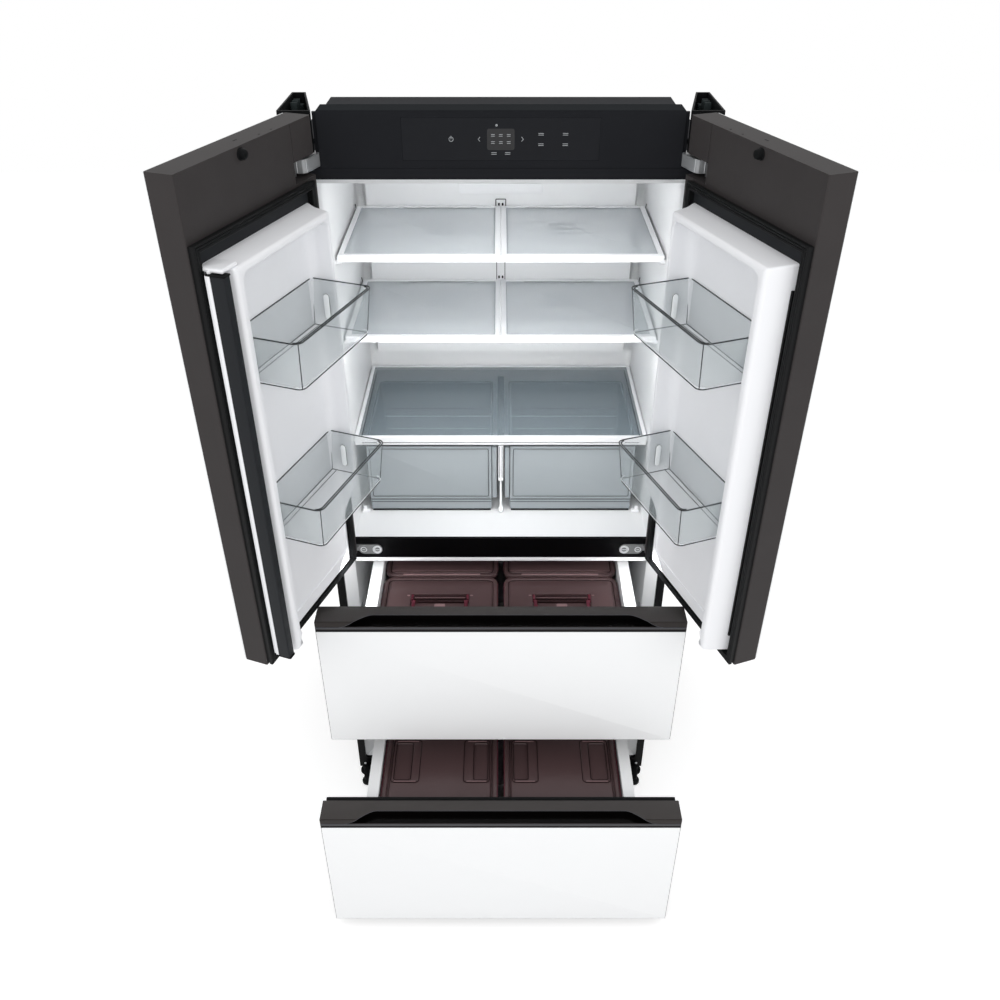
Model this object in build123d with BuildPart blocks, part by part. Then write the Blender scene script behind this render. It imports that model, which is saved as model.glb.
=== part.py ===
from build123d import *

import os
from collections import namedtuple
from math import cos, radians, sin

# A free-standing refrigerator for fermented food: two upper doors, two drawers below,
# all shown open. Millimetres, X to the right, Y to the back, Z up from the floor.
# The origin is the centre of the four feet. "Depth" is measured back from the front
# flange, "out" is how far a drawer is pulled, and a door has its own coordinates:
# u from its hinge edge, w from its inner face into the cabinet.

# Cabinet
cabinet_width = 835.0
half_width = cabinet_width / 2
cabinet_depth = 615.0
foot_height = 22.0
cabinet_top = 1763.0
sheet = 1.2
base_thickness = 3.0
deck_start = 170.0
deck_end = 440.0
deck_rise = 10.0
deck_slope = 14.0
foot_radius = 18.0
foot_inset = 18.5
front_foot_depth = 4.0
rear_foot_inset = 43.0
louvre_width = 90.0
louvre_height = 5.0

# Front flange and its openings
flange_thickness = 8.0
flange_chamfer = 1.0
side_strip = 51.5
drawer_side_strip = 20.0
opening_radius = 8.0
bottom_rail_top = 62.0
middle_rail_bottom = 408.0
middle_rail_top = 452.0
cross_rail_bottom = 810.7
cross_rail_top = 869.0
header_bottom = 1738.0

# Header and the covers beside it
header_top = 1862.5
header_side = 71.5
header_half_width = half_width - header_side
header_depth = 60.0
header_wall = 3.0
header_groove_z = 1759.0
display_half_width = 187.0
display_bottom = 1774.0
display_top = 1851.0
display_recess = 2.0
corner_cover_top = 1864.0
corner_cover_length = 162.0
corner_cover_width = 63.5
corner_cover_inner = half_width - corner_cover_width
corner_cover_rear_width = 27.5
corner_cover_rear_inner = half_width - corner_cover_rear_width
corner_cover_wall = 3.5
corner_cover_floor = 1792.0

# Upper compartment
liner_wall = 2.5
side_insulation = 56.0
liner_half_width = half_width - side_insulation
liner_floor = 857.0
liner_ceiling = 1724.0
liner_depth = 537.0
liner_bevel = 16.0
liner_radius = 14.0
ledge_width = 13.0
ledge_height = 8.0
ledge_front = 140.0

# Rear duct with the shelf standard
duct_room = 49.0
duct_front = liner_depth - duct_room
duct_side = 28.5
duct_front_half = liner_half_width - duct_side
duct_spread = 12.0
duct_back_half = duct_front_half + duct_spread
ledge_back = duct_front - 2.0
duct_wall = 3.0
duct_slot_width = 70.0
duct_slot_height = 5.0
standard_half_width = 13.0
standard_thickness = 3.0
standard_slot = 5.0
standard_rise = 12.0
lamp_half_width = 97.0
lamp_height = 10.0
lamp_z = 1577.0

# Half shelves
shelf_tops = {"upper": 1537.0, "lower": 1346.5}
shelf_front = 133.8
shelf_rear_play = 5.2
shelf_back = duct_front - shelf_rear_play
shelf_inner = 1.0
shelf_side_play = 5.5
shelf_outer = liner_half_width - shelf_side_play
shelf_trim_height = 15.0
shelf_frame_height = 12.0
shelf_rail_width = 17.0
shelf_lap = 5.0
pane_thickness = 4.0
pane_drop = 1.0
pane_play = 0.3
tab_width = 9.0
tab_length = 14.0

# Crispers under a glass cover
cover_top = 1078.7
duct_lift = 61.3
duct_bottom = cover_top + duct_lift
cover_side_play = 3.5
cover_half_width = liner_half_width - cover_side_play
cover_trim_height = 22.0
cover_frame_height = 8.0
cover_rail = 14.0
crisper_front = 136.0
crisper_rear_room = 61.0
crisper_back = liner_depth - crisper_rear_room
crisper_inner = 22.0
crisper_side_room = 27.5
crisper_outer = liner_half_width - crisper_side_room
crisper_drop = 25.7
crisper_top = cover_top - crisper_drop
crisper_wall = 3.0
crisper_radius = 12.0
grip_strip_height = 37.0
grip_strip_depth = 6.0
post_half_width = 6.0
post_length = 127.7
post_bottom = cover_top - post_length
stem_radius = 2.0

# Drawer section
drawer_insulation = 45.5
drawer_liner_half = half_width - drawer_insulation
drawer_liner_bevel = 30.0
upper_liner_floor = 456.0
upper_liner_ceiling = 806.0
lower_liner_floor = 66.0
lower_liner_ceiling = 404.0
hump_top = 290.0
hump_front = 395.0
machine_room_front = 410.0
machine_room_top = 275.0
machine_room_side = 17.5
machine_room_half = half_width - machine_room_side

# Doors
door_side_play = 1.0
door_edge = half_width - door_side_play
door_meeting_gap = 3.8
door_width = door_edge - door_meeting_gap
door_thickness = 56.4
door_gap = 13.5
door_bottom = 851.0
door_top = 1863.5
door_open_angle = 110.0
door_corner_radius = 3.0
panel_thickness = 4.0
panel_reveal = 1.0
hinge_inset = 27.5
hinge_x = door_edge - hinge_inset
hinge_out = 45.0
pin_radius = 5.0
pin_clearance = 0.3
gasket_hinge_side = 28.0
gasket_free_margin = 1.2
gasket_free_side = door_width - gasket_free_margin
gasket_bottom = 854.0
gasket_top = 1754.0
gasket_width = 14.0
gasket_lip = 5.0
gasket_clearance = 0.3
dyke_hinge_side = 56.0
dyke_free_margin = 26.7
dyke_free_side = door_width - dyke_free_margin
dyke_bottom = 874.0
dyke_top = 1714.0
dyke_height = 55.0
dyke_draft_hinge = 4.0
dyke_draft_free = 16.0
dyke_draft_ends = 17.0
dyke_round = 7.0
door_liner_base = 3.0
pocket_hinge_side = 72.0
dyke_free_ridge = 33.0
pocket_free_side = dyke_free_side - dyke_free_ridge
pocket_bottom = 905.0
pocket_top = 1676.0
pocket_floor = 8.0
bumper_u = 232.0
bumper_z = 1850.0
bumper_radius = 6.0
bumper_height = 8.0
hinge_cover_seam = 72.0
seam = 1.0

# Hinges
arm_bottom = 1763.5
arm_top = 1788.5
arm_thickness = 5.0
arm_reach = 39.0
arm_x = hinge_x - arm_reach
arm_bend = 28.0
arm_bend_x = hinge_x - arm_bend
arm_bend_out = 34.0
arm_foot_front = 20.0
arm_foot_back = 95.0
arm_foot_overhang = 19.0
arm_foot_outer = hinge_x + arm_foot_overhang
eye_radius = 9.0
notch_margin = 7.0
upper_pin_bottom = 1738.0
upper_pin_top = 1812.0
plate_offset = 38.0
plate_outer = hinge_x - plate_offset
plate_length = 58.0
plate_inner = plate_outer - plate_length
plate_bottom = 824.0
plate_top = 852.0
plate_thickness = 3.0
leaf_bottom = 845.4
leaf_thickness = 4.5
leaf_overhang = 10.0
leaf_outer = hinge_x + leaf_overhang
lower_pin_top = 873.0
screw_radius = 6.0
screw_pitch = 34.0

# Folding centre seal on the left door
flap_pivot_offset = 12.0
flap_pivot_u = dyke_free_side + flap_pivot_offset
flap_pivot_w = 23.0
flap_heel = 2.0
flap_width = 42.0
flap_thickness = 20.0
flap_face = 9.2
flap_bottom = 880.4
flap_top = 1696.6
flap_pin_radius = 4.0
flap_bracket = 6.0
flap_bracket_reach = 5.0

# Door baskets
basket_rims = {"upper": 1580.6, "lower": 1238.6}
basket_height = 94.7
basket_play = 3.0
basket_hinge_end = pocket_hinge_side + basket_play
basket_free_end = pocket_free_side - basket_play
basket_reach = 132.0
basket_taper = 8.0
basket_wall = 2.5
basket_radius = 24.0
rim_width = 5.0
rim_height = 6.0

# Drawer fronts
drawer_front_thickness = 56.5
drawer_gap = 15.0
drawer_trim_height = 29.0
drawer_radius = 2.0
scoop_lip = 11.0
scoop_side = 70.5
scoop_front_half = half_width - scoop_side
scoop_spread = 41.0
scoop_back_half = scoop_front_half - scoop_spread
scoop_mouth = 25.0
scoop_pocket = 38.0
scoop_pocket_depth = 33.0
scoop_deck = 5.0
drawer_gasket_width = 13.0
seal_lap = 13.0
upper_front_bottom = 456.7
upper_rear_bottom = 438.0
upper_panel_top = 814.7
upper_drawer_out = 207.0
lower_front_bottom = 28.7
lower_panel_top = 399.0
lower_drawer_out = 419.0
drawer_gasket_margin = 5.5
drawer_gasket_outer = half_width - drawer_gasket_margin

# Telescopic runners
runner_front = 12.0
runner_rear_room = 45.0
runner_length = liner_depth - runner_front - runner_rear_room
runner_height = 44.0
runner_sheet = 2.5
runner_side_room = 51.0
runner_outer = drawer_liner_half - runner_side_room
runner_lip = 12.0
runner_play = 0.3
bracket_length = 30.0

# Drawer trays
tray_outer = runner_outer
tray_side = 27.0
tray_inner = tray_outer - tray_side
tray_wall = 3.0
tray_flange = 8.0
upper_tray_floor = 474.0
upper_tray_top = 785.0
upper_tray_back = 424.0
upper_runner_z = 560.0
lower_tray_floor = 84.0
lower_tray_top = 400.0
lower_tray_back = 304.0
lower_runner_z = 300.0

# Storage containers
container_wall = 2.5
container_radius = 22.0
lid_overhang = 5.0
lid_height = 12.0
lid_thickness = 3.0
handle_width = 137.0
handle_depth = 62.0
handle_bar = 9.0
handle_thickness = 7.0
grip_recess_width = 62.0
grip_recess_length = 128.0
grip_recess_inset = 24.0
grip_recess_depth = 5.0

# General clearances
seat_gap = 0.3

Drawer = namedtuple(
    "Drawer",
    "bottom panel_top out floor tray_top tray_back runner_z back_bottom seal_bottom seal_top",
)
upper_drawer = Drawer(
    bottom=upper_front_bottom,
    panel_top=upper_panel_top,
    out=upper_drawer_out,
    floor=upper_tray_floor,
    tray_top=upper_tray_top,
    tray_back=upper_tray_back,
    runner_z=upper_runner_z,
    back_bottom=upper_rear_bottom,
    seal_bottom=middle_rail_top - seal_lap,
    seal_top=cross_rail_bottom + seal_lap,
)
lower_drawer = Drawer(
    bottom=lower_front_bottom,
    panel_top=lower_panel_top,
    out=lower_drawer_out,
    floor=lower_tray_floor,
    tray_top=lower_tray_top,
    tray_back=lower_tray_back,
    runner_z=lower_runner_z,
    back_bottom=lower_front_bottom,
    seal_bottom=bottom_rail_top - seal_lap,
    seal_top=middle_rail_bottom + seal_lap,
)
drawers = {"upper": upper_drawer, "lower": lower_drawer}

rear_foot_depth = cabinet_depth - rear_foot_inset
flange_y = -(front_foot_depth + rear_foot_depth) / 2
panel_rear = cabinet_depth - sheet
opening_half = half_width - side_strip
drawer_opening_half = half_width - drawer_side_strip

made = {}


def keep(name, builder):
    """Label a finished piece and remember it for export."""
    builder.part.label = name
    made[name] = builder.part


def plan(height, out=0.0):
    """Horizontal sketch plane: x across, y back from the flange."""
    return Plane(origin=(0, flange_y - out, height), x_dir=(1, 0, 0), z_dir=(0, 0, 1))


def front(depth, out=0.0):
    """Upright sketch plane facing the user: x across, y up."""
    return Plane(origin=(0, flange_y + depth - out, 0), x_dir=(1, 0, 0), z_dir=(0, -1, 0))


def side(x, out=0.0):
    """Upright sketch plane across the width: x back from the flange, y up."""
    return Plane(origin=(x, flange_y - out, 0), x_dir=(0, 1, 0), z_dir=(1, 0, 0))


# Directions and origin of the left door as it stands open
open_angle = radians(door_open_angle)
door_u = (cos(open_angle), -sin(open_angle), 0)
door_w = (sin(open_angle), cos(open_angle), 0)
pin_u = door_edge - hinge_x
pin_w = door_gap - hinge_out
hinge_y = flange_y - hinge_out
corner_x = -hinge_x - pin_u * door_u[0] - pin_w * door_w[0]
corner_y = hinge_y - pin_u * door_u[1] - pin_w * door_w[1]


def door_point(u, w, z):
    """A point of the left door in the object's frame."""
    x = corner_x + u * door_u[0] + w * door_w[0]
    y = corner_y + u * door_u[1] + w * door_w[1]
    return (x, y, z)


def door_plan(z):
    """Horizontal plane of the left door: x is u, y is w."""
    return Plane(origin=door_point(0, 0, z), x_dir=door_u, z_dir=(0, 0, 1))


def door_face(w):
    """Plane along the left door: x is u, y is height, the normal points outward."""
    outward = (-door_w[0], -door_w[1], 0)
    return Plane(origin=door_point(0, w, 0), x_dir=door_u, z_dir=outward)


def area(x0, x1, y0, y1, radius=0.0, mode=Mode.ADD):
    """Rectangle between two pairs of limits in the current sketch."""
    with Locations(((x0 + x1) / 2, (y0 + y1) / 2)):
        if radius > 0:
            RectangleRounded(abs(x1 - x0), abs(y1 - y0), radius, mode=mode)
        else:
            Rectangle(abs(x1 - x0), abs(y1 - y0), mode=mode)


def block(plane, x0, x1, y0, y1, amount, radius=0.0, mode=Mode.ADD):
    """Extrude a rectangle from a plane in the current part."""
    with BuildSketch(plane) as outline:
        area(x0, x1, y0, y1, radius)
    extrude(outline.sketch, amount=amount, mode=mode)


def both_sides(name, builder):
    """Keep a left-hand piece together with its mirror image as one group."""
    with BuildPart() as pair:
        add(builder.part)
        mirror(builder.part, about=Plane.YZ)
    keep(name, pair)


def left_and_right(name, builder):
    """Keep a left-hand piece and its mirror image as two pieces."""
    keep("left_" + name, builder)
    with BuildPart() as right:
        mirror(builder.part, about=Plane.YZ)
    keep("right_" + name, right)


# Outer sheet: two sides and the top in one folded piece, with a raised deck behind
with BuildPart() as cabinet_shell:
    with BuildSketch(side(-half_width)):
        with BuildLine():
            Polyline(
                (flange_thickness, foot_height),
                (flange_thickness, cabinet_top),
                (deck_start, cabinet_top),
                (deck_start, cabinet_top + deck_rise),
                (deck_end, cabinet_top + deck_rise),
                (deck_end + deck_slope, cabinet_top),
                (panel_rear, cabinet_top),
                (panel_rear, foot_height),
                close=True,
            )
        make_face()
    extrude(amount=cabinet_width)
    with BuildSketch(side(-half_width + sheet)):
        with BuildLine():
            Polyline(
                (0, 0),
                (0, cabinet_top - sheet),
                (deck_start + sheet, cabinet_top - sheet),
                (deck_start + sheet, cabinet_top + deck_rise - sheet),
                (deck_end - sheet, cabinet_top + deck_rise - sheet),
                (deck_end + deck_slope - sheet, cabinet_top - sheet),
                (cabinet_depth, cabinet_top - sheet),
                (cabinet_depth, 0),
                close=True,
            )
        make_face()
    extrude(amount=cabinet_width - 2 * sheet, mode=Mode.SUBTRACT)
keep("cabinet_shell", cabinet_shell)

# Rear sheet with the louvres of the machine room
with BuildPart() as back_panel:
    block(front(panel_rear), -half_width, half_width, foot_height, cabinet_top, -sheet)
    with BuildSketch(front(panel_rear)):
        with Locations((0, (machine_room_top + foot_height) / 2)):
            with GridLocations(1.6 * louvre_width, 4 * louvre_height, 5, 9):
                Rectangle(louvre_width, louvre_height)
    extrude(amount=-sheet, mode=Mode.SUBTRACT)
keep("back_panel", back_panel)

base_top = foot_height + base_thickness
shell_inner = half_width - sheet
with BuildPart() as base_plate:
    block(
        plan(foot_height),
        -shell_inner,
        shell_inner,
        flange_thickness,
        panel_rear,
        base_thickness,
    )
keep("base_plate", base_plate)

foot_x = half_width - foot_inset
with BuildPart() as levelling_feet:
    with BuildSketch(plan(0)):
        for depth in (front_foot_depth, rear_foot_depth):
            with Locations((-foot_x, depth), (foot_x, depth)):
                Circle(foot_radius)
    extrude(amount=foot_height * 0.3)
    with BuildSketch(plan(0)):
        for depth in (front_foot_depth, rear_foot_depth):
            with Locations((-foot_x, depth), (foot_x, depth)):
                Circle(foot_radius * 0.55)
    extrude(amount=foot_height)
keep("levelling_feet", levelling_feet)

# Front flange: side strips, bottom rail, middle rail and cross rail in one plate
with BuildPart() as front_frame:
    with BuildSketch(front(0)):
        area(-half_width, half_width, foot_height, header_bottom)
        area(
            -drawer_opening_half,
            drawer_opening_half,
            bottom_rail_top,
            middle_rail_bottom,
            opening_radius,
            Mode.SUBTRACT,
        )
        area(
            -drawer_opening_half,
            drawer_opening_half,
            middle_rail_top,
            cross_rail_bottom,
            opening_radius,
            Mode.SUBTRACT,
        )
        area(
            -opening_half,
            opening_half,
            cross_rail_top,
            header_bottom + 2 * opening_radius,
            opening_radius,
            Mode.SUBTRACT,
        )
    extrude(amount=-flange_thickness)
    chamfer(front_frame.faces().sort_by(Axis.Y)[0].outer_wire().edges(), flange_chamfer)
keep("front_frame", front_frame)

# Header: a tall hollow fascia that stands on the top sheet, with a full-width lower band
with BuildPart() as header_fascia:
    with BuildSketch(front(0)):
        area(-half_width, half_width, header_bottom, cabinet_top)
        area(-header_half_width, header_half_width, cabinet_top, header_top)
    extrude(amount=-flange_thickness)
    block(
        front(flange_thickness),
        -header_half_width,
        header_half_width,
        cabinet_top,
        header_top,
        -(header_depth - flange_thickness),
    )
    block(
        front(flange_thickness),
        -header_half_width + header_wall,
        header_half_width - header_wall,
        cabinet_top,
        header_top - header_wall,
        -(header_depth - flange_thickness),
        mode=Mode.SUBTRACT,
    )
    block(
        front(0),
        -display_half_width - seat_gap,
        display_half_width + seat_gap,
        display_bottom - seat_gap,
        display_top + seat_gap,
        -display_recess,
        mode=Mode.SUBTRACT,
    )
    block(
        front(0),
        -half_width,
        half_width,
        header_groove_z,
        header_groove_z + seam,
        -seam,
        mode=Mode.SUBTRACT,
    )
keep("header_fascia", header_fascia)

with BuildPart() as display_glass:
    block(
        front(display_recess),
        -display_half_width,
        display_half_width,
        display_bottom,
        display_top,
        display_recess,
        radius=3,
    )
keep("display_glass", display_glass)

# Corner covers: open channels over the hinge arms, standing on the top sheet
with BuildPart() as corner_cover:
    with BuildSketch(plan(cabinet_top)) as cover_outline:
        with BuildLine():
            Polyline(
                (-half_width, 0),
                (-half_width, corner_cover_length),
                (-corner_cover_rear_inner, corner_cover_length),
                (-corner_cover_inner, 0),
                close=True,
            )
        make_face()
    extrude(amount=corner_cover_top - cabinet_top)
    with BuildSketch(plan(corner_cover_floor)):
        add(cover_outline.sketch_local)
        offset(amount=-corner_cover_wall, kind=Kind.INTERSECTION, mode=Mode.REPLACE)
    extrude(amount=corner_cover_top - corner_cover_floor, mode=Mode.SUBTRACT)
    with BuildSketch(plan(cabinet_top)):
        add(cover_outline.sketch_local)
        offset(amount=-corner_cover_wall, kind=Kind.INTERSECTION, mode=Mode.REPLACE)
    extrude(amount=corner_cover_floor - corner_cover_wall - cabinet_top, mode=Mode.SUBTRACT)
    block(
        plan(cabinet_top),
        -half_width + 2 * foot_inset,
        -corner_cover_inner + 1,
        -1,
        arm_foot_back + notch_margin,
        corner_cover_floor - corner_cover_wall - cabinet_top,
        mode=Mode.SUBTRACT,
    )
    block(
        plan(corner_cover_floor),
        -half_width + 3 * corner_cover_wall,
        -corner_cover_rear_inner + corner_cover_wall,
        corner_cover_wall * 3,
        corner_cover_length * 0.45,
        (corner_cover_top - corner_cover_floor) * 0.75,
    )
both_sides("corner_covers", corner_cover)


def upper_cavity(extra):
    """The upper compartment, widened by the liner's wall where asked."""
    lip_floor = cross_rail_top - extra
    lip_top = header_bottom + extra
    with BuildSketch(front(flange_thickness)) as mouth:
        area(-opening_half - extra, opening_half + extra, lip_floor, lip_top)
    with BuildSketch(front(flange_thickness + liner_bevel)) as throat:
        area(
            -liner_half_width - extra,
            liner_half_width + extra,
            liner_floor - extra,
            liner_ceiling + extra,
        )
    loft([mouth.sketch, throat.sketch])
    block(
        front(flange_thickness + liner_bevel),
        -liner_half_width - extra,
        liner_half_width + extra,
        liner_floor - extra,
        liner_ceiling + extra,
        -(liner_depth + extra - flange_thickness - liner_bevel),
    )


with BuildPart() as upper_space:
    upper_cavity(0)
    rear = upper_space.faces().sort_by(Axis.Y)[-1]
    fillet(rear.edges().sort_by(Axis.Z)[:3], liner_radius)

with BuildPart() as upper_bulk:
    upper_cavity(liner_wall)
    rear = upper_bulk.faces().sort_by(Axis.Y)[-1]
    fillet(rear.edges().sort_by(Axis.Z)[:3], liner_radius + liner_wall)


def ledge(height):
    """A pair of ledges on the side walls whose tops stand at the height."""
    for x in (-liner_half_width, liner_half_width - ledge_width):
        block(
            plan(height - ledge_height),
            x,
            x + ledge_width,
            ledge_front,
            ledge_back,
            ledge_height,
        )


with BuildPart() as fridge_liner:
    add(upper_bulk.part)
    add(upper_space.part, mode=Mode.SUBTRACT)
    for shelf_top in shelf_tops.values():
        ledge(shelf_top - shelf_frame_height - seat_gap)
    ledge(cover_top - cover_frame_height - seat_gap)
keep("fridge_liner", fridge_liner)


def drawer_cavity(floor, ceiling, mouth_floor, mouth_ceiling, extra):
    """A drawer compartment with its bevelled mouth."""
    with BuildSketch(front(flange_thickness)) as mouth:
        area(
            -drawer_opening_half - extra,
            drawer_opening_half + extra,
            mouth_floor - extra,
            mouth_ceiling + extra,
        )
    with BuildSketch(front(flange_thickness + drawer_liner_bevel)) as throat:
        area(
            -drawer_liner_half - extra,
            drawer_liner_half + extra,
            floor - extra,
            ceiling + extra,
        )
    loft([mouth.sketch, throat.sketch])
    block(
        front(flange_thickness + drawer_liner_bevel),
        -drawer_liner_half - extra,
        drawer_liner_half + extra,
        floor - extra,
        ceiling + extra,
        -(liner_depth + extra - flange_thickness - drawer_liner_bevel),
    )


def drawer_spaces(extra):
    """Both drawer compartments, the lower one stepped over the machine room."""
    drawer_cavity(upper_liner_floor, upper_liner_ceiling, middle_rail_top, cross_rail_bottom, extra)
    drawer_cavity(lower_liner_floor, lower_liner_ceiling, bottom_rail_top, middle_rail_bottom, extra)
    block(
        front(hump_front + extra),
        -half_width,
        half_width,
        foot_height,
        hump_top - extra,
        -(liner_depth + 2 * liner_wall - hump_front),
        mode=Mode.SUBTRACT,
    )


with BuildPart() as drawer_space:
    drawer_spaces(0)

with BuildPart() as drawer_bulk:
    drawer_spaces(liner_wall)

with BuildPart() as drawer_liners:
    add(drawer_bulk.part)
    add(drawer_space.part, mode=Mode.SUBTRACT)
keep("drawer_liners", drawer_liners)

# Foam between the outer sheet and the liners, cut away for the machine room
with BuildPart() as insulation:
    block(
        plan(base_top),
        -shell_inner,
        shell_inner,
        flange_thickness,
        panel_rear,
        cabinet_top - sheet - base_top,
    )
    add(upper_bulk.part, mode=Mode.SUBTRACT)
    add(drawer_bulk.part, mode=Mode.SUBTRACT)
    block(
        plan(base_top),
        -machine_room_half,
        machine_room_half,
        machine_room_front,
        panel_rear,
        machine_room_top - base_top,
        mode=Mode.SUBTRACT,
    )
keep("insulation", insulation)

# Duct cover on the back wall, with air slots, lamp strip and the slotted shelf standard
duct_top = liner_ceiling - liner_radius - seat_gap
standard_front = duct_front - standard_thickness
standard_top = lamp_z - lamp_height / 2 - standard_rise
with BuildPart() as rear_duct_cover:
    with BuildSketch(plan(duct_bottom)):
        with BuildLine():
            Polyline(
                (-duct_front_half, duct_front),
                (duct_front_half, duct_front),
                (duct_back_half, liner_depth),
                (-duct_back_half, liner_depth),
                close=True,
            )
        make_face()
    extrude(amount=duct_top - duct_bottom)
    with BuildSketch(plan(duct_bottom + duct_wall)):
        with BuildLine():
            Polyline(
                (-duct_front_half + duct_wall, duct_front + duct_wall),
                (duct_front_half - duct_wall, duct_front + duct_wall),
                (duct_back_half - duct_wall, liner_depth),
                (-duct_back_half + duct_wall, liner_depth),
                close=True,
            )
        make_face()
    extrude(amount=duct_top - duct_bottom - 2 * duct_wall, mode=Mode.SUBTRACT)
    for shelf_top in (liner_ceiling - 3 * shelf_trim_height, *shelf_tops.values()):
        with BuildSketch(front(duct_front)):
            with Locations((0, shelf_top - 4 * shelf_trim_height)):
                with GridLocations(4.4 * duct_slot_width, 2.4 * duct_slot_height, 2, 3):
                    Rectangle(duct_slot_width, duct_slot_height)
        extrude(amount=-duct_wall, mode=Mode.SUBTRACT)
    block(
        front(duct_front),
        -standard_half_width,
        standard_half_width,
        duct_bottom,
        standard_top,
        standard_thickness,
    )
    block(
        front(duct_front),
        -lamp_half_width,
        lamp_half_width,
        lamp_z - lamp_height / 2,
        lamp_z + lamp_height / 2,
        standard_thickness,
    )
    with BuildSketch(front(standard_front)):
        with Locations((0, (duct_bottom + standard_top) / 2)):
            with GridLocations(2 * standard_slot + 3, 6 * standard_slot, 2, 13):
                Rectangle(standard_slot, 2 * standard_slot)
    extrude(amount=-standard_thickness / 2, mode=Mode.SUBTRACT)
    for shelf_top in shelf_tops.values():
        for x in (-shelf_inner - 1 - tab_width, shelf_inner + 1):
            block(
                plan(shelf_top - shelf_frame_height - seat_gap - ledge_height),
                x,
                x + tab_width,
                shelf_back - tab_length,
                standard_front,
                ledge_height,
            )
keep("rear_duct_cover", rear_duct_cover)

# Cooling coil with fins, and its fan, between the duct cover and the back wall
coil_front = duct_front + duct_wall + 8
coil_back = liner_depth
coil_half = duct_front_half * 0.75
coil_bottom = duct_bottom + 20
coil_height = 170.0
fin_pitch = 50.0
with BuildPart() as evaporator:
    block(
        plan(coil_bottom + coil_height * 0.2),
        -coil_half,
        coil_half,
        coil_front + 4,
        coil_back,
        coil_height * 0.15,
    )
    block(
        plan(coil_bottom + coil_height * 0.65),
        -coil_half,
        coil_half,
        coil_front + 4,
        coil_back,
        coil_height * 0.15,
    )
    fin_count = int(2 * coil_half / fin_pitch)
    with BuildSketch(plan(coil_bottom)):
        with Locations((0, (coil_front + coil_back) / 2)):
            with GridLocations(fin_pitch, 1, fin_count, 1):
                Rectangle(1.5, coil_back - coil_front)
    extrude(amount=coil_height)
keep("evaporator", evaporator)

fan_lift = 110.0
fan_z = coil_bottom + coil_height + fan_lift
fan_radius = 55.0
fan_ring = 4.0
blade_count = 7
with BuildPart() as fan:
    with BuildSketch(front(liner_depth)):
        with Locations((0, fan_z)):
            Circle(fan_radius + fan_ring)
            Circle(fan_radius, mode=Mode.SUBTRACT)
    extrude(amount=24)
    with BuildSketch(front(liner_depth)):
        with Locations((0, fan_z)):
            Circle(fan_radius * 0.35)
            with PolarLocations(fan_radius * 0.6, blade_count):
                Rectangle(fan_radius * 0.85, fan_radius * 0.3)
    extrude(amount=14)
keep("fan", fan)

# Compressor on its pan in the machine room
compressor_radius = 72.0
compressor_x = -170.0
compressor_height = 165.0
compressor_flange = 12.0
compressor_chamfer = 30.0
compressor_depth = (machine_room_front + panel_rear) / 2
with BuildPart() as compressor:
    with BuildSketch(plan(base_top)):
        with Locations((compressor_x, compressor_depth)):
            Rectangle(2 * compressor_radius + compressor_flange, 2 * compressor_radius)
    extrude(amount=compressor_flange / 2)
    with BuildSketch(plan(base_top)):
        with Locations((compressor_x, compressor_depth)):
            Circle(compressor_radius)
    extrude(amount=compressor_height)
    chamfer(compressor.faces().sort_by(Axis.Z)[-1].edges(), compressor_chamfer)
keep("compressor", compressor)


def half_shelf(shelf_top, sign):
    """A half shelf: the frame, and the glass pane that lies loose in its rebate."""
    inner = sign * shelf_inner
    outer = sign * shelf_outer
    window_inner = sign * (shelf_inner + shelf_rail_width)
    window_outer = sign * (shelf_outer - shelf_rail_width)
    window_front = shelf_front + shelf_rail_width
    window_back = shelf_back - shelf_rail_width
    lap = sign * shelf_lap
    play = sign * pane_play
    pane_z = shelf_top - pane_thickness - pane_drop
    with BuildPart() as shelf:
        block(
            plan(shelf_top - shelf_frame_height),
            inner,
            outer,
            shelf_front,
            shelf_back,
            shelf_frame_height,
            radius=3,
        )
        block(
            plan(shelf_top - shelf_trim_height),
            inner,
            outer,
            shelf_front,
            shelf_front + 4,
            shelf_trim_height,
        )
        block(
            plan(shelf_top - shelf_frame_height),
            window_inner,
            window_outer,
            window_front,
            window_back,
            shelf_frame_height,
            mode=Mode.SUBTRACT,
        )
        block(
            plan(pane_z - seat_gap),
            window_inner - lap,
            window_outer + lap,
            window_front - shelf_lap,
            window_back + shelf_lap,
            pane_thickness + pane_drop + seat_gap,
            mode=Mode.SUBTRACT,
        )
        block(
            plan(pane_z),
            window_inner - lap + play,
            window_outer + lap - play,
            window_front - shelf_lap + pane_play,
            window_back + shelf_lap - pane_play,
            pane_thickness,
        )
    return shelf


for level, shelf_top in shelf_tops.items():
    keep("left_shelf_" + level, half_shelf(shelf_top, -1))
    keep("right_shelf_" + level, half_shelf(shelf_top, 1))

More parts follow.
